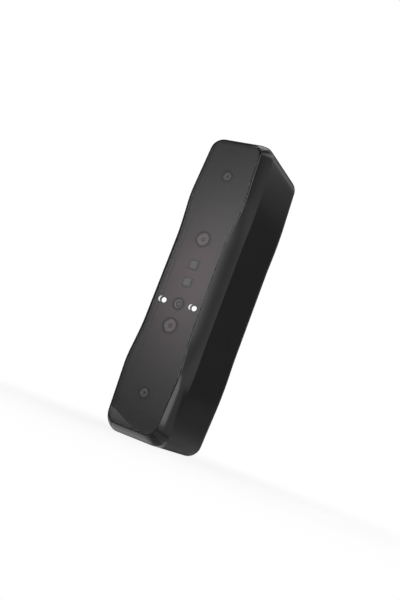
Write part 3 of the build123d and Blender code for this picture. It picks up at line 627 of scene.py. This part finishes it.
# Main housing: one moulding of black polycarbonate, with a rim round the glass, a bevel that widens at
# the waist, straight sides and both ends. The tool is finely etched, so the black is a soft satin.
BEVEL_DEPTH, BEVEL_FULLNESS, BEVEL_ROWS, CREASE_RADIUS = 8.8, 0.35, 9, 1.5
PROUD_FORWARD, PROUD_OUTWARD = 0.43, 0.9
RECESS_DEPTH, RECESS_ROUND, LEDGE_BACK, LEDGE_ROUND = 1.4, 0.08, 2.8, 0.1
APERTURE_INSET, APERTURE_CORNER, WALL, CAVITY_START = 5.82, 2.85, 2.0, 8.2
COVER_DEPTH, SEAM_GAP, SEAM_ROUND, RIM_ROUND = 5.2, 0.06, 0.18, 0.6
SEAM_DEPTH = BODY_DEPTH - COVER_DEPTH
BLACK_TINT = (1.0, 1.0, 1.03)


def etched(shade):
    """Soft cloud in the black, and the etched tool's fine grain."""
    grain = shade.noise(5200.0)
    cloud = shade.noise(46.0)
    return {
        "Base Color": shade.blend(cloud, grey(0.0060, BLACK_TINT), grey(0.0085, BLACK_TINT)),
        "Roughness": 0.10 + 0.03 * cloud + 0.03 * grain,
        "Normal": shade.relief(grain, 0.0000016),
    }


satin_black = finish("satin_black_polycarbonate", etched, {"IOR": 1.35})


def cutter(rows):
    """Closed shape that is taken out of a moulding."""
    return solid("cutter", rows)


def carve(made, cutters):
    """Takes the cutters out of a closed piece, and removes them."""
    for tool in cutters:
        cut = made.modifiers.new("cut", "BOOLEAN")
        cut.operation, cut.solver, cut.object = "DIFFERENCE", "MANIFOLD", tool
    graph = bpy.context.evaluated_depsgraph_get()
    carved = bpy.data.meshes.new_from_object(made.evaluated_get(graph))
    made.modifiers.clear()
    carved.materials.clear()
    made.data = carved
    for tool in cutters:
        bpy.data.objects.remove(tool)


def racetrack(straight, radius, columns=64):
    """Loop of two half circles joined by straight sides, as (along, across) pairs: the circle's points at
    angle t, moved apart by half the straight length each way."""
    t = np.linspace(0.0, 2 * np.pi, columns, endpoint=False)
    along = radius * np.sin(t)
    return along + np.sign(np.round(along, 9)) * straight / 2, radius * np.cos(t)


def body_loop(depth, inset):
    """Loop of the straight sides at a depth, drawn in by inset, with end corners that much tighter."""
    return outline(depth, inset, BODY_FORM, BODY_CORNER - inset)


def bevel_loop(share):
    """Loop a share u of the way back over the bevel, which stands 4 u (1 - u) of its fullness proud
    of flat, forwards and outwards."""
    proud = BEVEL_FULLNESS * 4 * share * (1 - share)
    form = GLASS_FORM + (BODY_FORM - GLASS_FORM) * share
    corner = RIM_CORNER + (BODY_CORNER - RIM_CORNER) * share
    depth = BEVEL_DEPTH * share - PROUD_FORWARD * proud
    inset = RIM_INSET * (1 - share) - PROUD_OUTWARD * proud
    return outline(depth, inset, form, corner)


shell_loops = [
    outline(RECESS_DEPTH, APERTURE_INSET, GLASS_FORM, APERTURE_CORNER),
    outline(RECESS_DEPTH, GLASS_INSET, GLASS_FORM, GLASS_CORNER),
    outline(0.0, GLASS_INSET, GLASS_FORM, GLASS_CORNER),
    *[bevel_loop(share) for share in np.linspace(0.0, 1.0, BEVEL_ROWS)],
    body_loop(SEAM_DEPTH - SEAM_GAP, 0.0),
    body_loop(SEAM_DEPTH - SEAM_GAP, WALL),
    body_loop(CAVITY_START, WALL),
    outline(LEDGE_BACK, APERTURE_INSET, GLASS_FORM, APERTURE_CORNER),
]
shell_rounds = [LEDGE_ROUND, 0.0, RECESS_ROUND, RIM_ROUND]
shell_rounds += [0.0] * (BEVEL_ROWS - 2) + [CREASE_RADIUS, SEAM_ROUND, 0.0, 0.0, 0.0]
shell = solid("housing_shell", rounded(shell_loops, shell_rounds, True, 8), ring=True)

low, high = spot("tripod_insert")
insert_depth, insert_radius, insert_floor, lower_end = (low[1] + high[1]) / 2, high[0], high[2], low[2]
SLIDE_GAP, OVERRUN, MOUTH_ROUND = 0.05, 1.0, 0.25
hole_top, hole_neck, hole_end = lower_end + WALL + OVERRUN, lower_end + MOUTH_ROUND, lower_end - OVERRUN
hole = insert_radius + SLIDE_GAP
hole_mouth = hole + MOUTH_ROUND
hole_profile = [(0.0, hole_top), (hole, hole_top), (hole, hole_neck)]
hole_profile += [(hole_mouth, lower_end), (hole_mouth, hole_end), (0.0, hole_end)]
insert_hole = cutter(turned(hole_profile, (0.0, insert_depth), axis="rise"))

low, high = spot("data_socket_shell")
socket_depth, socket_height = (low[1] + high[1]) / 2, high[1] - low[1]
socket_straight, socket_mouth, socket_back = high[0] - low[0] - socket_height, low[2], high[2]
SOCKET_GAP = 0.15


def slot_loop(radius, rise):
    """Loop of the data socket's long round-ended outline at a height."""
    across, deep = racetrack(socket_straight, radius)
    return np.stack([across, socket_depth + deep, np.full_like(deep, rise)], axis=-1)


slot_radius = socket_height / 2 + SOCKET_GAP
slot_mouth = slot_radius + MOUTH_ROUND
slot_profile = [(slot_radius, hole_top), (slot_radius, hole_neck)]
slot_profile += [(slot_mouth, lower_end), (slot_mouth, hole_end)]
slot_loops = [slot_loop(radius, rise) for radius, rise in slot_profile]
slot_caps = [loop * (0, 0, 1) + (0.0, socket_depth, 0.0) for loop in (slot_loops[0], slot_loops[-1])]
socket_hole = cutter(np.stack([slot_caps[0], *slot_loops, slot_caps[1]]))
carve(shell, [insert_hole, socket_hole])
fit(shell, satin_black, stands_for=["main_housing"], sharp=28.0)


# Tripod insert: a brass bush pressed into the lower end, with a blind quarter-inch thread tapped in it.
# The thread climbs by one pitch a turn, and its mouth is flared so that a screw starts easily.
THREAD_PITCH, THREAD_HEIGHT, MINOR_RADIUS, BLIND_DEPTH = 1.27, 0.55, 2.6, 9.0
THREAD_ROWS, THREAD_COLUMNS, LEAD_IN = 150, 64, 0.6
FLANK_SLOPE, CREST_WIDTH, BUSH_CHAMFER, MOUTH_FLARE = 1.5, 0.25, 0.15, 0.12
t = np.linspace(0.0, 2 * np.pi, THREAD_COLUMNS, endpoint=False)[None, :]
climb = np.linspace(lower_end + LEAD_IN, lower_end + BLIND_DEPTH, THREAD_ROWS)[:, None]
turn = (climb - lower_end) / THREAD_PITCH - t / (2 * np.pi)
flank = np.clip(FLANK_SLOPE * np.abs(2 * (turn % 1.0) - 1) - CREST_WIDTH, 0.0, 1.0)
bore = MINOR_RADIUS + THREAD_HEIGHT * flank


def round_insert(radius, rise):
    """Row of points at a radius, which may vary with the angle, round the insert's axis."""
    parts = np.broadcast_arrays(radius * np.cos(t), insert_depth + radius * np.sin(t), rise)
    return np.stack(parts, axis=-1)


mouth = MINOR_RADIUS + THREAD_HEIGHT
chamfer_end = lower_end + BUSH_CHAMFER
outside = [(0.0, insert_floor), (insert_radius, insert_floor), (insert_radius, chamfer_end)]
outside += [(insert_radius - BUSH_CHAMFER, lower_end), (mouth + MOUTH_FLARE, lower_end)]
outside += [(mouth, chamfer_end)]
insert_rows = [round_insert(radius, rise) for radius, rise in outside]
insert_rows += [round_insert(bore, climb), round_insert(0.0, lower_end + BLIND_DEPTH)]
insert = solid("tripod_bush", np.concatenate(insert_rows))
fit(insert, brass, stands_for=["tripod_insert"], sharp=40.0)


# Data socket: a shell of thin nickel plated steel, drawn round a plastic tongue with gold contacts.
# It is soldered to the mainboard, and its mouth stands in a slot in the lower end.
nickel_greys = [grey(level, (1.0, 0.99, 0.97)) for level in (0.50, 0.62)]
drawn_streaks = {"scale": 1100.0, "stretch": (1.0, 1.0, 0.15)}
nickel_steel = mottled("nickel_plated_steel", METAL, nickel_greys, roughness=(0.22, 0.38), **drawn_streaks)
SOCKET_WALL, SOCKET_ROUND = 0.3, 0.12
outer, inner = socket_height / 2, socket_height / 2 - SOCKET_WALL
drawn_profile = [(outer, socket_back), (outer, socket_mouth)]
drawn_profile += [(inner, socket_mouth), (inner, socket_back)]
drawn_loops = [slot_loop(radius, rise) for radius, rise in drawn_profile]
drawn_rounds = [0.0, SOCKET_ROUND, SOCKET_ROUND, 0.0]
drawn = solid("data_socket", rounded(drawn_loops, drawn_rounds, True, 4), ring=True)
fit(drawn, nickel_steel, stands_for=["data_socket_shell"], sharp=40.0)

golds = (0.82, 0.60, 0.24, 1.0), (0.90, 0.68, 0.32, 1.0)
gold = mottled("gold_contacts", METAL, golds, roughness=(0.2, 0.32), scale=2600.0, detail=1.0)
CONTACTS, CONTACT_PITCH, CONTACT_WIDTH, CONTACT_LENGTH, CONTACT_REACH = 12, 0.5, 0.26, 3.4, 0.03
TONGUE_HALF, CONTACT_SETBACK = 0.35, 0.5
contact_start = spot("data_socket_tongue")[0][2] + CONTACT_SETBACK
turns = np.linspace(0.25, 2.25, 4, endpoint=False) * np.pi
half = CONTACT_WIDTH / 2 * math.sqrt(2)
section = np.stack([half * np.cos(turns), CONTACT_REACH * np.sin(turns), 0 * turns], axis=-1)
widths = np.array([0.0, 1.0, 1.0, 0.0])[:, None, None]
lengths = np.array([0.0, 0.0, 1.0, 1.0])[:, None, None] * (0.0, 0.0, CONTACT_LENGTH)
strip = widths * section + lengths
strip_grids = []
for place in (np.arange(CONTACTS) - (CONTACTS - 1) / 2) * CONTACT_PITCH:
    for face in (-1, 1):
        strip_grids.append(strip + (place, socket_depth + face * TONGUE_HALF, contact_start))
contacts = solid("data_socket_contacts", *strip_grids)
fit(contacts, gold, sharp=20.0)


# Rear cover: a shallow moulding of the same black polycarbonate, with a large round at its edge and a
# shallow dish for the keys. Its lip slides into the housing, and four screws in wells hold it.
BACK_ROUND, COVER_WALL, LIP_INSET, LIP_THICKNESS, LIP_DEPTH = 5.0, 2.2, 2.1, 1.0, 2.0
FLAT_MARGIN, HOLE_ROUND = 1.0, 0.2
DISH_WIDTH, DISH_LENGTH, DISH_DEPTH, DISH_ROUND = 18.0, 56.0, 0.8, 0.5
DISH_FLOOR_ROUND, DISH_MARGIN, DISH_SPINE_SHARE = 0.3, 2.0, 0.6
inside, hollow = BODY_DEPTH - COVER_WALL, LIP_INSET + LIP_THICKNESS
cover_loops = [
    body_loop(BODY_DEPTH, BACK_ROUND + FLAT_MARGIN),
    body_loop(BODY_DEPTH, 0.0),
    body_loop(SEAM_DEPTH + SEAM_GAP, 0.0),
    body_loop(SEAM_DEPTH + SEAM_GAP, LIP_INSET),
    body_loop(SEAM_DEPTH - LIP_DEPTH, LIP_INSET),
    body_loop(SEAM_DEPTH - LIP_DEPTH, hollow),
    body_loop(inside, hollow),
    body_loop(inside, hollow + FLAT_MARGIN),
]
cover_rounds = [0.0, 0.0, BACK_ROUND, SEAM_ROUND] + [0.0] * 6
cover_stack = [spine(cover_loops[0]), *cover_loops, spine(cover_loops[-1])]
cover = solid("rear_shell", rounded(cover_stack, cover_rounds, False, 12))

key_rise = round_spot("scan_button")[0][1]
dish_floor = BODY_DEPTH - DISH_DEPTH


def dish_loop(radius, depth):
    """Loop of the dish's round-ended outline at a depth."""
    along, across = racetrack(DISH_LENGTH - DISH_WIDTH, radius)
    return np.stack([across, np.full_like(across, depth), key_rise + along], axis=-1)


dish_radius = DISH_WIDTH / 2
dish_loops = [
    dish_loop(dish_radius, dish_floor),
    dish_loop(dish_radius, BODY_DEPTH),
    dish_loop(dish_radius + DISH_ROUND + DISH_MARGIN, BODY_DEPTH),
]
dish_wall = rounded(dish_loops, [DISH_FLOOR_ROUND, DISH_ROUND, 0.0])[:-1]
lid = dish_loop(dish_radius + DISH_ROUND, BODY_DEPTH + OVERRUN)
dish_middle = np.array([0.0, 0.0, key_rise])


def dish_cap(loop):
    """The loop pressed onto the dish's middle line."""
    return (loop - dish_middle) * (0.0, 1.0, DISH_SPINE_SHARE) + dish_middle


dish = cutter(np.stack([dish_cap(dish_wall[0]), *dish_wall, lid, dish_cap(lid)]))


def bored(radius, floor, mouth_depth, centre):
    """Cutter for a round hole from a floor depth to the mouth, its edge broken by a small round."""
    out = BODY_DEPTH + 2 * OVERRUN
    profile = [(0.0, floor), (radius, floor), (radius, mouth_depth - HOLE_ROUND)]
    profile += [(radius + HOLE_ROUND, mouth_depth), (radius + HOLE_ROUND, out), (0.0, out)]
    return cutter(turned(profile, centre))


KEYS = ("scan_button", "plus_key", "minus_key")
FLANGE_WIDTH, HEAD_RADIUS, WELL_GAP, WELL_FLOOR = 1.0, 1.9, 0.2, 0.1
under = inside - 2 * OVERRUN
holes = [dish]
for name in KEYS:
    centre, flange_radius = round_spot(name)[:2]
    holes.append(bored(flange_radius - FLANGE_WIDTH, under, dish_floor, centre))
light_centre, light_radius, light_root, light_top = round_spot("status_light_pipe")
holes.append(bored(light_radius + SLIDE_GAP, under, dish_floor, light_centre))
low, high = spot("rear_cover_screws")
screw_tip, screw_x = low[1], high[0] - HEAD_RADIUS
screw_spots = [(x, z) for x in (-screw_x, screw_x) for z in (low[2] + HEAD_RADIUS, high[2] - HEAD_RADIUS)]
holes += [bored(HEAD_RADIUS + WELL_GAP, inside + WELL_FLOOR, BODY_DEPTH, place) for place in screw_spots]
carve(cover, holes)
fit(cover, satin_black, stands_for=["rear_cover"], sharp=28.0)


# Cover screws: four pan heads of blackened steel with a hexagon key socket, sunk in their wells.
# A hexagon's radius is cos 30 degrees over the cosine of the angle from the middle of its side.
KEY_RADIUS, KEY_DEPTH, SHANK_RADIUS, HEAD_HEIGHT = 0.9, 0.8, 1.0, 1.4
TIP_ROUND, SEAT_ROUND, HEAD_ROUND, KEY_EDGE_ROUND = 0.2, 0.1, 0.5, 0.06
SCREW_COLUMNS, KEY_ROWS = 48, slice(5, 7)
angle = np.linspace(0.0, 2 * np.pi, SCREW_COLUMNS, endpoint=False)
hexagon = np.cos(np.pi / 6) / np.cos((angle % (np.pi / 3)) - np.pi / 6)
head_top = inside + HEAD_HEIGHT
key_floor = head_top - KEY_DEPTH
screw_profile = [(0.0, screw_tip), (SHANK_RADIUS, screw_tip), (SHANK_RADIUS, inside)]
screw_profile += [(HEAD_RADIUS, inside), (HEAD_RADIUS, head_top)]
screw_profile += [(KEY_RADIUS, head_top), (KEY_RADIUS, key_floor), (0.0, key_floor)]
screw_rounds = [0.0, TIP_ROUND, 0.0, SEAT_ROUND, HEAD_ROUND, KEY_EDGE_ROUND, 0.0, 0.0]
screw_radii, screw_depths = np.array(screw_profile).T[..., None] * np.ones(SCREW_COLUMNS)
screw_radii[KEY_ROWS] *= hexagon
screw_grids = []
for x, z in screw_spots:
    across, rise = x + screw_radii * np.cos(angle), z + screw_radii * np.sin(angle)
    loops = np.stack([across, screw_depths, rise], axis=-1)
    screw_grids.append(rounded(loops, screw_rounds, False, 5))
cover_screws = solid("cover_screws", *screw_grids)
fit(cover_screws, black_steel, stands_for=["rear_cover_screws"], sharp=40.0)


# Keys: three push keys of black nylon through the rear cover, each with a slightly hollow top.
# A flange inside keeps each key in, and a white mark is printed into its top.
FLANGE_THICKNESS, FLANGE_ROUND = 1.0, 0.1
KEY_GAP, KEY_ROUND, KEY_HOLLOW, HOLLOW_INSET, HOLLOW_ROWS = 0.3, 0.55, 0.16, 0.66, 8
MARK_REACH, MARK_HALF, MARK_ROUND, MARK_ROOT, MARK_SHARE = 1.5, 0.2, 0.12, 0.12, 0.55
TRIANGLE_BACK, TRIANGLE_HALF = 0.9, 1.35
key_blacks, ink_whites = (grey(0.014), grey(0.020)), (grey(0.62), grey(0.72))
key_nylon = mottled(
    "fine_grained_key_nylon", {}, key_blacks, roughness=(0.42, 0.56), scale=4200.0, depth=0.000005
)
white_ink = mottled("white_key_ink", {}, ink_whites, roughness=(0.5, 0.65), scale=3800.0)


def cross(arm, half):
    """Twelve corners of a plus sign: the three of one arm, turned by a quarter three times."""
    side = np.array([(half, half), (half, arm), (-half, arm)])
    quarter_turn = np.array([[0.0, 1.0], [-1.0, 0.0]])
    return np.concatenate([side @ np.linalg.matrix_power(quarter_turn, turns) for turns in range(4)])


bar = np.array([(1, 1), (-1, 1), (-1, -1), (1, -1)]) * (MARK_REACH, MARK_HALF)
triangle = [(MARK_REACH, 0.0), (-TRIANGLE_BACK, TRIANGLE_HALF), (-TRIANGLE_BACK, -TRIANGLE_HALF)]
MARKS = {"scan_button": np.array(triangle), "plus_key": cross(MARK_REACH, MARK_HALF), "minus_key": bar}

for name in KEYS:
    centre, flange_radius, flange, top = round_spot(name)
    radius = flange_radius - FLANGE_WIDTH - KEY_GAP
    wall = [(0.0, flange), (flange_radius, flange), (flange_radius, flange + FLANGE_THICKNESS)]
    wall += [(radius, flange + FLANGE_THICKNESS), (radius, top)]
    shares = np.linspace(1.0, 0.0, HOLLOW_ROWS)
    basin = [((radius - HOLLOW_INSET) * share, top - KEY_HOLLOW * (1 - share**2)) for share in shares]
    rounds = [0.0, FLANGE_ROUND, FLANGE_ROUND, 0.0, KEY_ROUND] + [0.0] * HOLLOW_ROWS
    cap = solid(name + "_cap", turned(wall + basin, centre, rounds))
    fit(cap, key_nylon, body=name, stands_for=[name], sharp=40.0)
    flat = np.insert(MARKS[name], 1, 0.0, axis=1)
    softened = rounded(flat[:, None], [MARK_ROUND] * len(flat), True, 4)[:, 0]
    middle = np.array([0.0, 0.0, centre[1]])
    sunk, proud = top - KEY_HOLLOW - MARK_ROOT, top - KEY_HOLLOW * MARK_SHARE
    loops = [softened + middle + (0.0, depth, 0.0) for depth in (sunk, proud)]
    caps = [loop * (0.0, 1.0, 0.0) + middle for loop in loops]
    mark = solid(name + "_mark", np.stack([caps[0], *loops, caps[1]]))
    fit(mark, white_ink, body=name, sharp=30.0)

dress(key_nylon, "scan_switch_plunger", "plus_switch_plunger", "minus_switch_plunger")


# Status light: a pipe of clear acrylic, moulded with a domed end that shows in the dish. It stands in
# the rear cover, over a small white chip on the keys' board.
pale_greens = (0.46, 0.60, 0.55, 1.0), (0.56, 0.70, 0.64, 1.0)
gloss = {"Coat Weight": 0.5}
light_acrylic = mottled("clear_pipe_acrylic", gloss, pale_greens, roughness=(0.10, 0.18), scale=700.0)
LIGHT_DOME, LIGHT_ROWS = 0.22, 8
shares = np.linspace(1.0, 0.0, LIGHT_ROWS)
dome = [(light_radius * share, light_top + LIGHT_DOME * (1 - share**2)) for share in shares]
profile = [(0.0, light_root), (light_radius, light_root)] + dome
pipe = solid("status_light_lens", turned(profile, light_centre, columns=40))
fit(pipe, light_acrylic, stands_for=["status_light_pipe"], sharp=50.0)
dress(white_ink, "status_led")


# Floor: pale card round the scanner, which runs out to a grey studio floor. The camera sees it as the
# white background, with the scanner's soft shadow close to it. Only mirrors and glass see the white
# cards that lie on it, which put the light shapes on the glass, the bevel and the lower end.
FLOOR_REACH, FLOOR_SHADOW, SHADOW_REACH, CARD_REACH, GREY_REACH = 30.0, 0.13, 0.13, 0.26, 0.8
CARDS = {
    "left": (0.9, [(-0.847, 0.531, -0.027), (0.0, -1.0, 0.01)]),
    "right": (0.8, [(1.0, 0.0, 0.08), (0.36, -1.0, -0.02)]),
    "behind": (0.8, [(-4.0, 1.0, 0.05), (0.0, 1.0, 0.03)]),
    "corner": (0.7, [(1.0, 0.0, 0.0185), (-1.0, 0.0, -0.032), (0.0, 1.0, -0.03), (0.0, -1.0, 0.008)]),
    "far": (0.15, [(0.0, -1.0, 0.01)]),
}
LEFT_FADE, LEFT_FADE_REACH, FAR_START = 0.6, 0.6, 1.4
FRONT_SHIFT, FRONT_HALF, FRONT_EDGE, FRONT_RAMP = 0.001, 0.0135, -0.0188, 0.0034
corner = np.array([(-1, -1, 0), (1, -1, 0), (1, 1, 0), (-1, 1, 0)]) * FLOOR_REACH
card = bpy.data.meshes.new("floor_card")
card.from_pydata(corner.tolist(), [], [(0, 1, 2, 3)])
floor = bpy.data.objects.new("floor_card", card)
scene.collection.objects.link(floor)


def rays(shade):
    """Two values: one is 1 for rays from the camera, the other for rays off a mirror or through glass."""
    kinds = ("Camera", "Glossy", "Transmission")
    camera, mirror, through = (shade.node("LightPath", {}, {}, f"Is {kind} Ray") for kind in kinds)
    return camera, shade.maths("MINIMUM", mirror + through, 1.0)


def nearness(shade, reach):
    """One under the scanner, falling off as e to the power of minus the square of distance over reach."""
    far = shade.node("VectorMath", {"operation": "LENGTH"}, {0: shade.place()}, "Value") * (1 / reach)
    return math.e ** (0.0 - far * far)


def card_paper(shade):
    """Pale card on a grey floor, with a fine fibre."""
    fibre = shade.noise(900.0)
    floor_grey = shade.blend(nearness(shade, GREY_REACH), grey(0.30), grey(0.13))
    return {
        "Base Color": shade.blend(nearness(shade, CARD_REACH), floor_grey, grey(0.54)),
        "Roughness": 0.8 + 0.1 * fibre,
    }


def laid(across, away, whiteness, edges):
    """A card's whiteness inside its straight edges, where each edge (a, b, c) keeps a x + b y > c."""
    for a, b, c in edges:
        whiteness = whiteness * (a * across + b * away > c)
    return whiteness


white_card = finish("white_card", card_paper, {})
tree = white_card.node_tree
card_shader, card_output = tree.nodes["Principled BSDF"], tree.nodes["Material Output"]
shade = Shade(tree)
glow = shade.node("Emission", {}, {"Color": grey(1.0), "Strength": 1.0})
lit_card = Shade(tree, card_shader.outputs[0])
camera_ray, mirror_ray = rays(shade)
shadow = FLOOR_SHADOW * nearness(shade, SHADOW_REACH)
across, away = shade.axis("X"), shade.axis("Y")
cards = {name: laid(across, away, *facts) for name, facts in CARDS.items()}
cards["left"] = cards["left"] * (1.0 - LEFT_FADE * nearness(shade, LEFT_FADE_REACH))
cards["far"] = cards["far"] * (1.0 - nearness(shade, FAR_START))
ahead = shade.maths("MAXIMUM", (FRONT_EDGE - away) * (1 / FRONT_RAMP), 0.0)
aside = across + FRONT_SHIFT
front_card = ahead * (FRONT_HALF * FRONT_HALF - aside * aside > 0.0)
mirrored = shade.maths("MINIMUM", sum(cards.values(), front_card), 1.0)
white_share = camera_ray * (1.0 - shadow) + mirror_ray * mirrored
mixed = shade.node("MixShader", {}, {0: white_share, 1: lit_card, 2: glow})
tree.links.new(mixed.socket, card_output.inputs["Surface"])
card.materials.append(white_card)


# Studio: a dim room with a white backdrop. Soft panels stand to the left and right of the camera and far
# to the right, two broad lamps hang over the camera and over the scanner, and a small one stands low.
scene.view_settings.view_transform = "Standard"
world = bpy.data.worlds.new("studio")
world.use_nodes = True
scene.world = world
tree = world.node_tree
shade = Shade(tree)
direction = shade.node("TexCoord", {}, {}, "Generated")
ROOM_LIGHT = 0.05
PANELS = {
    "left_of_camera": (-19.0, 11.5, 14.0, 9.0, 1.9),
    "right_of_camera": (64.0, 6.0, 16.0, 14.0, 5.0),
    "right": (110.0, 8.0, 22.0, 20.0, 1.2),
    "high_right": (110.0, 46.0, 20.0, 9.0, 2.2),
    "far_right": (148.0, 39.0, 18.0, 14.5, 1.25, True),
}
BACKDROP = (208.0, 62.0, 30.0, 14.0, 0.8)


def looking(azimuth, elevation):
    """Direction from the scanner at an azimuth to the right of the front and an elevation above level."""
    level = math.cos(elevation)
    return np.array([math.sin(azimuth) * level, -math.cos(azimuth) * level, math.sin(elevation)])


def along(axis):
    """How far the seen direction goes along an axis of length one."""
    sides = {0: direction, 1: axis.tolist()}
    return shade.node("VectorMath", {"operation": "DOT_PRODUCT"}, sides, "Value")


def panel(azimuth, elevation, width, height, strength, crisp=False):
    """Soft glow of a panel, by its place and half sizes in degrees: strength times e to the power of
    minus the squares of the direction's offsets across and up, each over the sine of its half size.
    A crisp panel has the fourth power of the offset up."""
    azimuth, elevation = math.radians(azimuth), math.radians(elevation)
    middle = looking(azimuth, elevation)
    side = np.array([math.cos(azimuth), math.sin(azimuth), 0.0])
    across = along(side) * (1 / math.sin(math.radians(width)))
    up = along(np.cross(middle, side)) * (1 / math.sin(math.radians(height)))
    fall = up * up * up * up if crisp else up * up
    return strength * (along(middle) > 0.0) * math.e ** (0.0 - across * across - fall)


room = sum((panel(*facts) for facts in PANELS.values()), ROOM_LIGHT)
camera_ray, mirror_ray = rays(shade)
strength = camera_ray + (1.0 - camera_ray) * (room + mirror_ray * panel(*BACKDROP))
background = tree.nodes["Background"]
background.inputs["Color"].default_value = grey(1.0)
shade.feed(background.inputs["Strength"], strength)

TARGET = np.array([0.00131, -0.006613, 0.082074])
AZIMUTH, ELEVATION, ROLL, DISTANCE = (*np.radians([28.08, -9.25, 20.86]), 0.4222)


def stand(made, side, up, back, distance):
    """Puts a lamp or camera at a distance back from the target, with its axes to the side, up and back."""
    stood = bpy.data.objects.new(made.name, made)
    axes = np.eye(4)
    axes[:3] = np.stack([side, up, back, TARGET + back * distance], axis=-1)
    stood.matrix_world = axes.T.tolist()
    scene.collection.objects.link(stood)
    return stood


def lamp(name, towards, distance, width, power):
    """Square soft lamp that faces the scanner from a direction."""
    made = bpy.data.lights.new(name, "AREA")
    made.size, made.energy = width, power
    back = np.array(towards) / np.linalg.norm(towards)
    side = np.cross((0.0, 0.0, 1.0), back)
    side = side / np.linalg.norm(side)
    stand(made, side, np.cross(back, side), back, distance)


lamp("lamp_over_camera", looking(AZIMUTH, math.radians(20.0)), distance=1.0, width=0.5, power=6.0)
lamp("lamp_overhead", (-0.1, 0.1, 0.99), distance=1.3, width=1.0, power=5.0)
lamp("lamp_low_right", (0.129, -0.023, -0.057), distance=0.143, width=0.05, power=0.03)


# Camera: stands at the photograph's place, a little below and to the right of the glass, and is rolled.
# Its focal length is given in pixels of a picture 600 pixels high.
FOCAL_PIXELS, IMAGE_HEIGHT, SENSOR = 768.684, 600, 36.0
camera = bpy.data.cameras.new("camera")
camera.sensor_width, camera.lens = SENSOR, FOCAL_PIXELS * SENSOR / IMAGE_HEIGHT
camera.clip_start, camera.clip_end = 0.01, 50.0
back = looking(AZIMUTH, ELEVATION)
right = np.array([math.cos(AZIMUTH), math.sin(AZIMUTH), 0.0])
up = np.cross(back, right)
rolled_right = math.cos(ROLL) * right + math.sin(ROLL) * up
rolled_up = math.cos(ROLL) * up - math.sin(ROLL) * right
bpy.context.scene.camera = stand(camera, rolled_right, rolled_up, back, DISTANCE)
